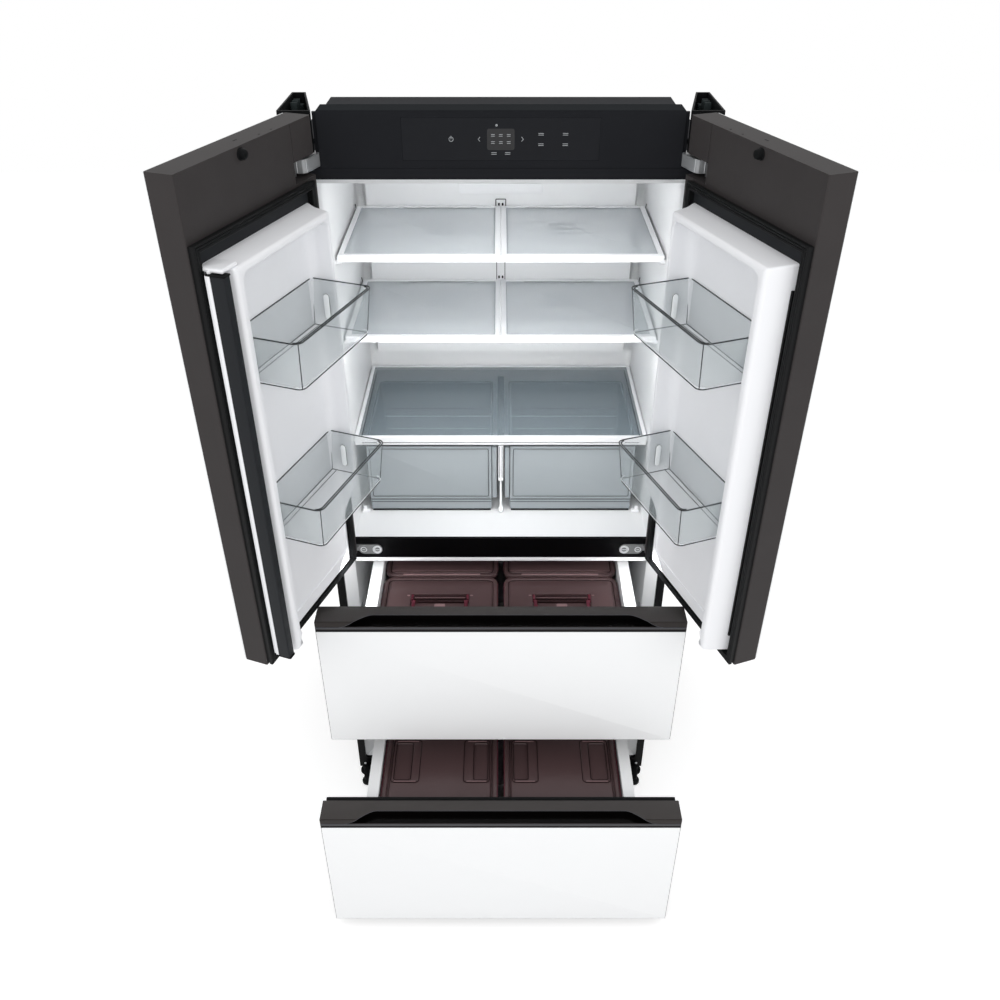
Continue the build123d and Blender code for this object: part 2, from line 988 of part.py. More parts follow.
# Glass cover of the crispers with its frame and the post between the crispers
cover_window_half = cover_half_width - cover_rail
cover_window_front = shelf_front + cover_rail
cover_window_back = liner_depth - liner_radius - cover_rail
cover_bottom = cover_top - cover_frame_height
with BuildPart() as crisper_cover_frame:
    block(
        plan(cover_bottom),
        -cover_half_width,
        cover_half_width,
        shelf_front,
        liner_depth - liner_radius,
        cover_frame_height,
        radius=3,
    )
    block(
        plan(cover_top - cover_trim_height),
        -cover_half_width,
        cover_half_width,
        shelf_front,
        shelf_front + 4,
        cover_trim_height,
    )
    block(
        plan(cover_bottom),
        -cover_window_half,
        cover_window_half,
        cover_window_front,
        cover_window_back,
        cover_frame_height,
        mode=Mode.SUBTRACT,
    )
    block(
        plan(cover_top - pane_thickness - pane_drop),
        -cover_window_half - shelf_lap,
        cover_window_half + shelf_lap,
        cover_window_front - shelf_lap,
        cover_window_back + shelf_lap,
        pane_thickness + pane_drop,
        mode=Mode.SUBTRACT,
    )
    block(
        plan(post_bottom),
        -post_half_width,
        post_half_width,
        shelf_front,
        shelf_front + 10,
        cover_top - pane_thickness - pane_drop - post_bottom,
    )
    with BuildSketch(plan(liner_floor + seat_gap)):
        with Locations((0, shelf_front + 5)):
            Circle(stem_radius)
    extrude(amount=post_bottom - liner_floor)
    with BuildSketch(plan(liner_floor + seat_gap)):
        with Locations((0, shelf_front + 5)):
            Circle(post_half_width)
    extrude(amount=6)
keep("crisper_cover_frame", crisper_cover_frame)

with BuildPart() as crisper_cover_glass:
    block(
        plan(cover_top - pane_thickness - pane_drop),
        -cover_window_half - shelf_lap + pane_play,
        cover_window_half + shelf_lap - pane_play,
        cover_window_front - shelf_lap + pane_play,
        cover_window_back + shelf_lap - pane_play,
        pane_thickness,
    )
keep("crisper_cover_glass", crisper_cover_glass)

with BuildPart() as crisper:
    crisper_bottom = liner_floor + seat_gap
    block(
        plan(crisper_bottom),
        -crisper_outer,
        -crisper_inner,
        crisper_front,
        crisper_back,
        crisper_top - crisper_bottom,
        radius=crisper_radius,
    )
    block(
        plan(crisper_bottom),
        -crisper_outer,
        -crisper_inner,
        crisper_front,
        crisper_front + 2 * crisper_radius,
        crisper_top - crisper_bottom,
    )
    block(
        plan(crisper_bottom + crisper_wall),
        -crisper_outer + crisper_wall,
        -crisper_inner - crisper_wall,
        crisper_front + crisper_wall + grip_strip_depth,
        crisper_back - crisper_wall,
        crisper_top - crisper_bottom,
        radius=crisper_radius - crisper_wall,
        mode=Mode.SUBTRACT,
    )
    block(
        front(crisper_front),
        -crisper_outer,
        -crisper_inner,
        crisper_bottom,
        crisper_bottom + grip_strip_height,
        -grip_strip_depth,
        mode=Mode.SUBTRACT,
    )
    block(
        front(crisper_front),
        -crisper_outer + 4,
        -crisper_inner - 4,
        crisper_bottom,
        crisper_bottom + 3,
        -grip_strip_depth,
    )
left_and_right("crisper", crisper)

# Upper hinge arms: a foot bolted under the corner cover and a bowed strap to the pin
arm_eye = (-hinge_x, -hinge_out)
with BuildPart() as hinge_arm:
    with BuildSketch(plan(arm_bottom)):
        with BuildLine():
            Line((-arm_x, arm_foot_back), (-arm_x, 0))
            ThreePointArc(
                (-arm_x, 0),
                (-arm_bend_x, -arm_bend_out),
                (-hinge_x + eye_radius / 2, -hinge_out),
            )
        trace(line_width=arm_thickness)
        with Locations(arm_eye):
            Circle(eye_radius)
            Circle(pin_radius, mode=Mode.SUBTRACT)
    extrude(amount=arm_top - arm_bottom)
    with BuildSketch(plan(cabinet_top)):
        area(-arm_foot_outer, -arm_x + arm_thickness / 2, arm_foot_front, arm_foot_back, 4)
    extrude(amount=4)
both_sides("upper_hinge_arms", hinge_arm)

# Lower hinge plates on the cross rail, each with a leaf under the door's corner
screw_x = (plate_inner + plate_outer) / 2
with BuildPart() as hinge_plate:
    with BuildSketch(front(0)):
        area(
            -plate_outer,
            -plate_inner,
            plate_bottom,
            plate_top,
            (plate_top - plate_bottom) / 2 - 0.1,
        )
        area(-leaf_outer, -screw_x, plate_bottom + 10, plate_top)
    extrude(amount=plate_thickness)
    with BuildSketch(front(plate_thickness * -1)):
        with Locations((-screw_x, (plate_top + plate_bottom) / 2)):
            with GridLocations(screw_pitch, 1, 2, 1):
                Circle(screw_radius)
    extrude(amount=1.5)
    with BuildSketch(plan(leaf_bottom)):
        with Locations(arm_eye):
            Circle(eye_radius)
        area(-leaf_outer, -plate_outer, -plate_thickness, 0)
        make_hull()
        with Locations(arm_eye):
            Circle(pin_radius, mode=Mode.SUBTRACT)
    extrude(amount=leaf_thickness)
both_sides("lower_hinge_plates", hinge_plate)

with BuildPart() as hinge_pin:
    with BuildSketch(plan(upper_pin_bottom)):
        with Locations(arm_eye):
            Circle(pin_radius)
    extrude(amount=upper_pin_top - upper_pin_bottom)
    with BuildSketch(plan(leaf_bottom)):
        with Locations(arm_eye):
            Circle(pin_radius)
    extrude(amount=lower_pin_top - leaf_bottom)
both_sides("hinge_pins", hinge_pin)

# Left door in its open position: the core with its frame, drilled for the pins
panel_back = -door_thickness + panel_thickness
notch_depth = -pin_w + eye_radius + notch_margin / 2
with BuildPart() as door_shell:
    with BuildSketch(door_plan(door_bottom)):
        area(0, door_width, panel_back, 0, door_corner_radius)
    extrude(amount=door_top - door_bottom)
    with BuildSketch(door_plan(arm_bottom - notch_margin)):
        area(-1, door_edge - arm_x + notch_margin, -notch_depth, 1)
    extrude(amount=arm_top - arm_bottom + 2 * notch_margin, mode=Mode.SUBTRACT)
    with BuildSketch(door_plan(door_bottom)):
        with Locations((pin_u, pin_w)):
            Circle(pin_radius + pin_clearance)
    extrude(amount=lower_pin_top + 2 - door_bottom, mode=Mode.SUBTRACT)
    with BuildSketch(door_plan(upper_pin_bottom - 2)):
        with Locations((pin_u, pin_w)):
            Circle(pin_radius + pin_clearance)
    extrude(amount=upper_pin_top + 4 - upper_pin_bottom, mode=Mode.SUBTRACT)
    with BuildSketch(door_face(0)):
        area(hinge_cover_seam, hinge_cover_seam + seam, arm_top + notch_margin, door_top)
    extrude(amount=seam, mode=Mode.SUBTRACT)
    with BuildSketch(door_face(0)):
        with Locations((bumper_u, bumper_z)):
            Circle(bumper_radius)
    extrude(amount=-bumper_height)
left_and_right("door_shell", door_shell)

with BuildPart() as door_panel:
    with BuildSketch(door_face(panel_back)):
        area(
            panel_reveal,
            door_width - panel_reveal,
            door_bottom + panel_reveal,
            door_top - panel_reveal,
        )
    extrude(amount=panel_thickness)
left_and_right("door_panel", door_panel)

# Door liner: a base sheet with the raised dyke and the pocket that holds the baskets
liner_hinge = gasket_hinge_side + gasket_width + 2
liner_free = gasket_free_side - gasket_width - 2
with BuildPart() as dyke:
    with BuildSketch(door_face(door_liner_base)):
        area(dyke_hinge_side, dyke_free_side, dyke_bottom, dyke_top)
    with BuildSketch(door_face(dyke_height)):
        area(
            dyke_hinge_side + dyke_draft_hinge,
            dyke_free_side - dyke_draft_free,
            dyke_bottom + dyke_draft_ends,
            dyke_top - dyke_draft_ends,
        )
    loft()
    ridge = dyke.faces().sort_by(lambda face: face.center().dot(Vector(*door_w)))[-1]
    fillet(ridge.edges(), dyke_round)
    block(
        door_face(pocket_floor),
        pocket_hinge_side,
        pocket_free_side,
        pocket_bottom,
        pocket_top,
        -dyke_height,
        radius=10,
        mode=Mode.SUBTRACT,
    )

with BuildPart() as door_liner:
    block(
        door_face(0),
        liner_hinge,
        liner_free,
        gasket_bottom + gasket_width + 2,
        gasket_top - gasket_width - 2,
        -door_liner_base,
    )
    add(dyke.part)
    for rim in basket_rims.values():
        seat = rim - basket_height - seat_gap
        for u in (pocket_hinge_side, pocket_free_side - ledge_width):
            block(
                door_plan(seat - ledge_height),
                u,
                u + ledge_width,
                pocket_floor,
                pocket_floor + 2.4 * ledge_width,
                ledge_height,
            )

with BuildPart() as flap_brackets:
    for z in (flap_bottom - seat_gap - flap_bracket, flap_top + seat_gap):
        with BuildSketch(door_plan(z)):
            with Locations((flap_pivot_u, flap_pivot_w)):
                Circle(flap_pin_radius + flap_bracket_reach)
            area(
                dyke_free_side - dyke_draft_free / 2 - 6,
                flap_pivot_u,
                flap_pivot_w - flap_pin_radius,
                flap_pivot_w + flap_pin_radius,
            )
            with Locations((flap_pivot_u, flap_pivot_w)):
                Circle(flap_pin_radius + pin_clearance, mode=Mode.SUBTRACT)
        extrude(amount=flap_bracket)

with BuildPart() as left_door_liner:
    add(door_liner.part)
    add(flap_brackets.part)
keep("left_door_liner", left_door_liner)

with BuildPart() as right_door_liner:
    mirror(door_liner.part, about=Plane.YZ)
keep("right_door_liner", right_door_liner)

# Door gasket: a base strip and a wider sealing lip, one closed ring
with BuildPart() as door_gasket:
    with BuildSketch(door_face(0)):
        area(
            gasket_hinge_side + 2,
            gasket_free_side - 2,
            gasket_bottom + 2,
            gasket_top - 2,
        )
        area(
            gasket_hinge_side + gasket_width,
            gasket_free_side - gasket_width,
            gasket_bottom + gasket_width,
            gasket_top - gasket_width,
            mode=Mode.SUBTRACT,
        )
    extrude(amount=-gasket_lip)
    with BuildSketch(door_face(gasket_lip)):
        area(gasket_hinge_side, gasket_free_side, gasket_bottom, gasket_top)
        area(
            gasket_hinge_side + gasket_width,
            gasket_free_side - gasket_width,
            gasket_bottom + gasket_width,
            gasket_top - gasket_width,
            mode=Mode.SUBTRACT,
        )
    extrude(amount=-(door_gap - gasket_lip - gasket_clearance))
left_and_right("door_gasket", door_gasket)

# Folding centre seal, folded back along the dyke while the door is open
with BuildPart() as mullion_flap:
    with BuildSketch(door_plan(flap_bottom)):
        area(
            flap_pivot_u + flap_face - flap_thickness,
            flap_pivot_u + flap_face,
            flap_pivot_w - flap_heel,
            flap_pivot_w - flap_heel + flap_width,
            2,
        )
    extrude(amount=flap_top - flap_bottom)
    with BuildSketch(door_plan(flap_bottom - flap_bracket)):
        with Locations((flap_pivot_u, flap_pivot_w)):
            Circle(flap_pin_radius)
    extrude(amount=flap_top - flap_bottom + 2 * flap_bracket)
keep("mullion_flap", mullion_flap)


def make_basket(rim):
    """A clear basket that tapers to its floor, with a thicker rim."""
    floor = rim - basket_height
    back = pocket_floor + seat_gap
    reach = back + basket_reach
    with BuildPart() as basket:
        with BuildSketch(door_plan(floor)):
            area(
                basket_hinge_end + basket_taper,
                basket_free_end - basket_taper,
                back,
                reach - basket_taper,
                basket_radius,
            )
            area(
                basket_hinge_end + basket_taper,
                basket_free_end - basket_taper,
                back,
                back + 2 * basket_radius,
            )
        with BuildSketch(door_plan(rim)):
            area(basket_hinge_end, basket_free_end, back, reach, basket_radius)
            area(basket_hinge_end, basket_free_end, back, back + 2 * basket_radius)
        loft()
        top = basket.faces().sort_by(Axis.Z)[-1]
        offset(amount=-basket_wall, openings=top)
        with BuildSketch(door_plan(rim - rim_height)):
            area(basket_hinge_end, basket_free_end, back, reach, basket_radius)
            area(basket_hinge_end, basket_free_end, back, back + 2 * basket_radius)
            area(
                basket_hinge_end + rim_width,
                basket_free_end - rim_width,
                back + rim_width,
                reach - rim_width,
                basket_radius - rim_width,
                Mode.SUBTRACT,
            )
        extrude(amount=rim_height)
    return basket


for level, rim in basket_rims.items():
    left_and_right("basket_" + level, make_basket(rim))


def drawer_front(drawer):
    """Front of a drawer: shell with the scooped grip on top and the seal behind."""
    out = drawer.out
    face = -door_gap - drawer_front_thickness
    behind_panel = face + panel_thickness
    rear = -drawer_gap
    top = drawer.panel_top + drawer_trim_height
    lip = top - scoop_lip
    with BuildPart() as shell:
        with BuildSketch(side(-half_width, out)):
            with BuildLine():
                Polyline(
                    (behind_panel, drawer.bottom),
                    (behind_panel, drawer.panel_top),
                    (face, drawer.panel_top),
                    (face, top),
                    (rear, top),
                    (rear, drawer.back_bottom),
                    (behind_panel + 18, drawer.back_bottom),
                    close=True,
                )
            make_face()
        extrude(amount=cabinet_width)
        fillet(shell.edges().filter_by(Axis.Z), drawer_radius)
        with BuildSketch(plan(lip, out)):
            with BuildLine():
                Polyline(
                    (-scoop_back_half, face + scoop_mouth),
                    (scoop_back_half, face + scoop_mouth),
                    (scoop_front_half, face - 1),
                    (-scoop_front_half, face - 1),
                    close=True,
                )
            make_face()
        extrude(amount=scoop_lip, mode=Mode.SUBTRACT)
        with BuildSketch(plan(lip - scoop_pocket_depth, out)):
            area(
                -scoop_back_half,
                scoop_back_half,
                behind_panel,
                behind_panel + scoop_pocket,
                drawer_front_thickness / 6,
            )
        extrude(amount=scoop_pocket_depth + scoop_lip - scoop_deck, mode=Mode.SUBTRACT)
        with BuildSketch(front(rear, out)):
            area(
                -drawer_gasket_outer,
                drawer_gasket_outer,
                drawer.seal_bottom,
                drawer.seal_top,
            )
            area(
                -drawer_gasket_outer + drawer_gasket_width,
                drawer_gasket_outer - drawer_gasket_width,
                drawer.seal_bottom + drawer_gasket_width,
                drawer.seal_top - drawer_gasket_width,
                mode=Mode.SUBTRACT,
            )
        extrude(amount=-(drawer_gap - gasket_clearance))
    return shell


def drawer_panel(drawer):
    """Outer panel of a drawer front."""
    face = -door_gap - drawer_front_thickness
    with BuildPart() as panel:
        block(
            front(face + panel_thickness, drawer.out),
            -half_width,
            half_width,
            drawer.bottom,
            drawer.panel_top,
            panel_thickness,
        )
        fillet(panel.edges().filter_by(Axis.Y), drawer_radius)
    return panel


def drawer_tray(drawer):
    """Tray with channel-shaped sides over the runners."""
    out = drawer.out
    rear = -drawer_gap
    with BuildPart() as tray:
        block(
            plan(drawer.floor, out),
            -tray_outer,
            tray_outer,
            rear,
            drawer.tray_back,
            drawer.tray_top - drawer.floor,
        )
        block(
            plan(drawer.floor + tray_wall, out),
            -tray_inner,
            tray_inner,
            rear + tray_wall,
            drawer.tray_back - tray_wall,
            drawer.tray_top - drawer.floor,
            mode=Mode.SUBTRACT,
        )
        for x in (-tray_outer, tray_inner + tray_wall):
            block(
                plan(drawer.floor, out),
                x,
                x + tray_outer - tray_inner - tray_wall,
                rear + tray_wall,
                drawer.tray_back,
                drawer.tray_top - drawer.floor - tray_flange,
                mode=Mode.SUBTRACT,
            )
        nose = runner_height - 2 * runner_sheet - 2 * runner_play
        nose -= 2 * runner_sheet + 2 * runner_play
        for x in (-runner_outer + 2 * runner_sheet + 2 * runner_play, tray_inner):
            length = runner_outer - 2 * runner_sheet - 2 * runner_play - tray_inner
            block(
                plan(drawer.runner_z + (runner_height - nose) / 2, out),
                x,
                x + length,
                rear + tray_wall,
                runner_front + runner_length - tray_wall,
                nose,
            )
    return tray


def channel(x_outer, depth0, depth1, z, height, sheet_thickness, width, out):
    """A left-hand C-shaped rail that opens toward the middle."""
    with BuildSketch(front(depth0, out)) as section:
        area(x_outer, x_outer + width, z, z + height)
        area(
            x_outer + sheet_thickness,
            x_outer + width + 1,
            z + sheet_thickness,
            z + height - sheet_thickness,
            mode=Mode.SUBTRACT,
        )
    extrude(section.sketch, amount=-(depth1 - depth0))


def fixed_runner(drawer):
    """Left-hand fixed rail of a drawer with its two brackets on the liner's wall."""
    rail_back = runner_front + runner_length
    with BuildPart() as rail:
        channel(
            -runner_outer - runner_sheet,
            runner_front,
            rail_back,
            drawer.runner_z,
            runner_height,
            runner_sheet,
            runner_lip + runner_sheet,
            0,
        )
        for depth in (flange_thickness + drawer_liner_bevel, rail_back - bracket_length):
            block(
                plan(drawer.runner_z),
                -drawer_liner_half,
                -runner_outer - runner_sheet,
                depth,
                depth + bracket_length,
                runner_sheet,
            )
            block(
                plan(drawer.runner_z),
                -drawer_liner_half,
                -drawer_liner_half + runner_sheet,
                depth,
                depth + bracket_length,
                runner_height,
            )
    return rail


def middle_runner(drawer):
    """Left-hand middle rail, half as far out as the drawer."""
    with BuildPart() as rail:
        channel(
            -runner_outer + runner_play,
            runner_front,
            runner_front + runner_length,
            drawer.runner_z + runner_sheet + runner_play,
            runner_height - 2 * runner_sheet - 2 * runner_play,
            runner_sheet,
            runner_lip,
            drawer.out / 2,
        )
    return rail


with BuildPart() as drawer_rails:
    for drawer in drawers.values():
        left_rail = fixed_runner(drawer)
        add(left_rail.part)
        mirror(left_rail.part, about=Plane.YZ)
keep("drawer_rails", drawer_rails)

for level, drawer in drawers.items():
    keep(level + "_drawer_front", drawer_front(drawer))
    keep(level + "_drawer_panel", drawer_panel(drawer))
    keep(level + "_drawer_tray", drawer_tray(drawer))
    both_sides(level + "_middle_rails", middle_runner(drawer))


def make_container(drawer, inner, outer, depth0, depth1, top):
    """Left-hand storage container, open at the top."""
    bottom = drawer.floor + tray_wall + seat_gap
    with BuildPart() as container:
        block(
            plan(bottom, drawer.out),
            -outer + lid_overhang,
            -inner - lid_overhang,
            depth0 + lid_overhang,
            depth1 - lid_overhang,
            top - lid_height - bottom,
            radius=container_radius,
        )
        opening = container.faces().sort_by(Axis.Z)[-1]
        offset(amount=-container_wall, openings=opening)
    return container


def lid_plate(drawer, inner, outer, depth0, depth1, top):
    """Left-hand lid: a shallow cap with a sunken rim line."""
    bottom = top - lid_height
    with BuildPart() as lid:
        block(
            plan(bottom, drawer.out),
            -outer,
            -inner,
            depth0,
            depth1,
            lid_height,
            radius=container_radius,
        )
        chamfer(lid.faces().sort_by(Axis.Z)[-1].edges(), lid_thickness)
        block(
            plan(bottom + lid_thickness, drawer.out),
            -outer + 3 * lid_overhang,
            -inner - 3 * lid_overhang,
            depth0 + 3 * lid_overhang,
            depth1 - 3 * lid_overhang,
            lid_height,
            radius=container_radius - 2 * lid_overhang,
            mode=Mode.SUBTRACT,
        )
        block(
            plan(bottom + lid_thickness, drawer.out),
            -outer + 4 * lid_overhang,
            -inner - 4 * lid_overhang,
            depth0 + 4 * lid_overhang,
            depth1 - 4 * lid_overhang,
            lid_height - 2 * lid_thickness,
            radius=container_radius - 3 * lid_overhang,
        )
    return lid


upper_container_top = 757.0
lower_container_top = 388.0
upper_inner = 8.0
upper_box_play = 4.0
upper_outer = tray_inner - upper_box_play
lower_inner = 20.0
lower_box_play = 6.0
lower_outer = tray_inner - lower_box_play
row_start = 1.0
front_row_depth = 194.0
row_gap = 6.0
rear_row_depth = 203.0
lower_row_depth = 280.0
front_row = (row_start, row_start + front_row_depth)
rear_row_start = front_row[1] + row_gap
rear_row = (rear_row_start, rear_row_start + rear_row_depth)
lower_row = (row_start, row_start + lower_row_depth)
handle_axis = 108.0
handle_x = (upper_inner + upper_outer) / 2
pin_z = upper_container_top - lid_thickness - handle_thickness / 2
well_margin = 3.0
handle_pin_radius = 2.6
handle_pin_length = 5.0


def fold_handle(depth):
    """Left-hand carrying handle, a ring that folds flat on its lid, with two pins."""
    x0 = -handle_x - handle_width / 2
    x1 = -handle_x + handle_width / 2
    with BuildPart() as handle:
        block(
            plan(pin_z - handle_thickness / 2, upper_drawer.out),
            x0,
            x1,
            depth - handle_depth,
            depth,
            handle_thickness,
        )
        block(
            plan(pin_z - handle_thickness / 2, upper_drawer.out),
            x0 + handle_bar,
            x1 - handle_bar,
            depth - handle_depth + handle_bar,
            depth - handle_thickness / 2,
            handle_thickness,
            mode=Mode.SUBTRACT,
        )
        with BuildSketch(side(x0, upper_drawer.out)):
            with Locations((depth, pin_z)):
                Circle(handle_thickness * 0.45)
        extrude(amount=handle_width)
        with BuildSketch(side(x0 - handle_pin_length, upper_drawer.out)):
            with Locations((depth, pin_z)):
                Circle(handle_pin_radius)
        extrude(amount=handle_width + 2 * handle_pin_length)
    return handle


def upper_lid(row):
    """Left-hand lid of an upper container with the well for its handle."""
    depth0, depth1 = row
    x0 = -handle_x - handle_width / 2
    x1 = -handle_x + handle_width / 2
    axis_depth = depth0 + handle_axis
    floor = pin_z - handle_thickness / 2 - seat_gap
    with BuildPart() as lid:
        add(lid_plate(upper_drawer, upper_inner, upper_outer, depth0, depth1, upper_container_top).part)
        block(
            plan(floor, upper_drawer.out),
            x0 - well_margin,
            x1 + well_margin,
            axis_depth - handle_depth - well_margin,
            axis_depth + handle_thickness / 2 + well_margin,
            lid_height,
            radius=handle_thickness / 2,
            mode=Mode.SUBTRACT,
        )
        with BuildSketch(side(x0 - handle_pin_length - seat_gap, upper_drawer.out)):
            with Locations((axis_depth, pin_z)):
                Circle(handle_pin_radius + pin_clearance)
        extrude(
            amount=handle_width + 2 * handle_pin_length + 2 * seat_gap,
            mode=Mode.SUBTRACT,
        )
    return lid


def lower_lid():
    """Left-hand lid of a lower container with its pair of grip recesses."""
    depth0, depth1 = lower_row
    with BuildPart() as lid:
        add(lid_plate(lower_drawer, lower_inner, lower_outer, depth0, depth1, lower_container_top).part)
        middle = (depth0 + depth1) / 2
        for x in (
            -lower_outer + grip_recess_inset,
            -lower_inner - grip_recess_inset - grip_recess_width,
        ):
            block(
                plan(lower_container_top - lid_thickness - grip_recess_depth, lower_drawer.out),
                x,
                x + grip_recess_width,
                middle - grip_recess_length / 2,
                middle + grip_recess_length / 2,
                grip_recess_depth + lid_thickness,
                radius=8,
                mode=Mode.SUBTRACT,
            )
    return lid


upper_box = (upper_drawer, upper_inner, upper_outer)
lower_box = (lower_drawer, lower_inner, lower_outer)
left_and_right("upper_container", make_container(*upper_box, *front_row, upper_container_top))
left_and_right("upper_lid", upper_lid(front_row))
left_and_right("upper_handle", fold_handle(front_row[0] + handle_axis))
both_sides("rear_containers", make_container(*upper_box, *rear_row, upper_container_top))
left_and_right("lower_container", make_container(*lower_box, *lower_row, lower_container_top))
left_and_right("lower_lid", lower_lid())

rear_lid = upper_lid(rear_row)
rear_handle = fold_handle(rear_row[0] + handle_axis)
with BuildPart() as rear_lids:
    add(rear_lid.part)
    add(rear_handle.part)
    mirror(rear_lid.part, about=Plane.YZ)
    mirror(rear_handle.part, about=Plane.YZ)
keep("rear_lids", rear_lids)

os.makedirs("parts", exist_ok=True)
for name, piece in made.items():
    export_step(piece, f"parts/{name}.step")
print(len(made), "pieces written")
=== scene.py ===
from math import cos, radians, sin

import bmesh
import bpy
import numpy as np
from bpy.props import FloatProperty, FloatVectorProperty, PointerProperty
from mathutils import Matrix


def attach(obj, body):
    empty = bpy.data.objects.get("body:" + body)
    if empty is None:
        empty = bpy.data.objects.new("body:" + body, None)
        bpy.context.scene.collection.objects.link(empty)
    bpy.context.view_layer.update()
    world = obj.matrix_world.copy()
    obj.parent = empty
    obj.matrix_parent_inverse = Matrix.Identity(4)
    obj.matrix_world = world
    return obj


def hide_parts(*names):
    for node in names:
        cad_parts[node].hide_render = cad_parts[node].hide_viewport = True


bl_info = {
    "name": "Kimchi refrigerator",
    "version": (1, 0, 0),
    "blender": (4, 5, 0),
    "location": "3D View > Sidebar > Refrigerator",
    "description": "Dresses the packed frame of a four-door refrigerator with two drawers",
    "category": "Object",
}

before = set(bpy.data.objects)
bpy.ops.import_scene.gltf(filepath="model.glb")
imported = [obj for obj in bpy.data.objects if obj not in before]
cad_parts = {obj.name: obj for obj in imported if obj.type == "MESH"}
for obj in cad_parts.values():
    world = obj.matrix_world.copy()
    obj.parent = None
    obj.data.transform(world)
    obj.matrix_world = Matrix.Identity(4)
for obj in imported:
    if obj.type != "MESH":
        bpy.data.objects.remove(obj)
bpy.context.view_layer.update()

# Lengths below are millimetres in the object's own frame; MM makes them metres.
MM = 0.001
MERGE = 0.01 * MM  # points closer than this become one
GLOSS_SPREAD = 0.06  # how far a finish's roughness drifts to either side
FLOOR_HALF = 6.0  # metres
FLOOR_LIFT = 0.45  # light the floor gives where it is seen, to reach white
CAMERA_PITCH = 34.7  # degrees down
FLANGE_Y = -288.0
HALF_WIDTH = 417.5
DOOR_ANGLE = radians(110)
DOOR_CORNER = (-349.994, -317.932, 0.0)
DOOR_U = (cos(DOOR_ANGLE), -sin(DOOR_ANGLE), 0.0)
DOOR_W = (sin(DOOR_ANGLE), cos(DOOR_ANGLE), 0.0)
ACROSS, BACK, UP = (1.0, 0.0, 0.0), (0.0, 1.0, 0.0), (0.0, 0.0, 1.0)
SIDES = ("left", "right")
LEVELS = ("upper", "lower")

DOOR_TOP = 1863.5
BASKET_RIMS = {"upper": 1580.6, "lower": 1238.6}
SHELF_TOPS = {"upper": 1537.0, "lower": 1346.5}
SHELF_FRONT, SHELF_BACK = 133.8, 482.8
DRAWER_OUT = {"upper": 207.0, "lower": 419.0}
PANEL_BOTTOM = {"upper": 456.7, "lower": 28.7}
PANEL_TOP = {"upper": 814.7, "lower": 399.0}
FRONT_BOTTOM = {"upper": 438.0, "lower": 28.7}
SEAL_Z = {"upper": (439.0, 823.0), "lower": (48.0, 422.0)}
TRIM_HEIGHT = 29.0
LID_TOPS = {"upper": 757.0, "lower": 388.0}


# Frames: an origin and three axes, so a shape is worked out in flat numbers and then placed.


def axes(origin, *directions):
    """A frame from its origin and its first, second and third direction."""
    return np.array(origin, float), np.array(directions, float)


def mirrored(place):
    """The frame reflected in the middle plane of the refrigerator."""
    flip = np.array((-1.0, 1.0, 1.0))
    return place[0] * flip, place[1] * flip


def pulled(place, out):
    """The frame moved forward by the distance a drawer is out."""
    return place[0] - np.array((0.0, out, 0.0)), place[1]


def lifted(place, amount):
    """The frame moved along its own third axis."""
    return place[0] + amount * place[1][2], place[1]


def placed(place, points):
    """Points of a frame in metres: origin plus each number times its axis."""
    return MM * (place[0] + np.asarray(points, float) @ place[1])


CABINET = axes((0, FLANGE_Y, 0), ACROSS, BACK, UP)
FACING = axes((0, FLANGE_Y, 0), ACROSS, UP, BACK)
DOOR_PLAN = axes(DOOR_CORNER, DOOR_U, DOOR_W, UP)
DOOR_FACE = axes(DOOR_CORNER, DOOR_U, UP, DOOR_W)
DOOR_END = axes(DOOR_CORNER, DOOR_W, UP, DOOR_U)


def on_side(place, side):
    """The frame as it is for the left, and its mirror image for the right."""
    return place if side == "left" else mirrored(place)


def from_right(place, side):
    """The frame as it is for the right, and its mirror image for the left."""
    return mirrored(place) if side == "left" else place


# Shapes: each is a pair of points and faces, closed, and turned outward by its volume.


def smooth(start, end, value):
    """Smoothstep: 0 before start, 1 after end, 3t2 - 2t3 between."""
    t = np.clip((np.asarray(value, float) - start) / (end - start), 0, 1)
    return t * t * (3 - 2 * t)


def rounded_loops(rect, radii, profile, slopes=(0, 0, 0, 0), steps=6):
    """One rounded rectangle for each (inset, height) of a profile.

    Every side stands in from the rectangle by the inset plus its own slope times the
    height, and each corner is a quarter circle of its radius less the inset."""
    inset, height = np.array(profile, float).T
    x0 = rect[0] + inset + slopes[0] * height
    x1 = rect[1] - inset - slopes[1] * height
    y0 = rect[2] + inset + slopes[2] * height
    y1 = rect[3] - inset - slopes[3] * height
    room = np.minimum(x1 - x0, y1 - y0) / 2 - 0.01
    loops = []
    for corner, radius in enumerate(np.broadcast_to(radii, 4)):
        r = np.minimum(np.maximum(radius - inset, 0.05), room)[:, None]
        angle = np.linspace(0, np.pi / 2, steps + 1)[None] + corner * np.pi / 2
        cx = (x1[:, None] - r) if corner in (0, 3) else (x0[:, None] + r)
        cy = (y1[:, None] - r) if corner in (0, 1) else (y0[:, None] + r)
        level = np.broadcast_to(height[:, None], (len(height), steps + 1))
        loops.append(np.stack((cx + r * np.cos(angle), cy + r * np.sin(angle), level), -1))
    return np.concatenate(loops, 1)


def filled(loops, count):
    """Adds evenly spaced points along the four straight sides of rounded loops."""
    arc = loops.shape[1] // 4
    share = (np.arange(1, count + 1) / (count + 1))[None, :, None]
    parts = []
    for corner in range(4):
        own = loops[:, corner * arc : (corner + 1) * arc]
        after = loops[:, (corner + 1) % 4 * arc][:, None]
        parts += [own, own[:, -1:] + share * (after - own[:, -1:])]
    return np.concatenate(parts, 1)


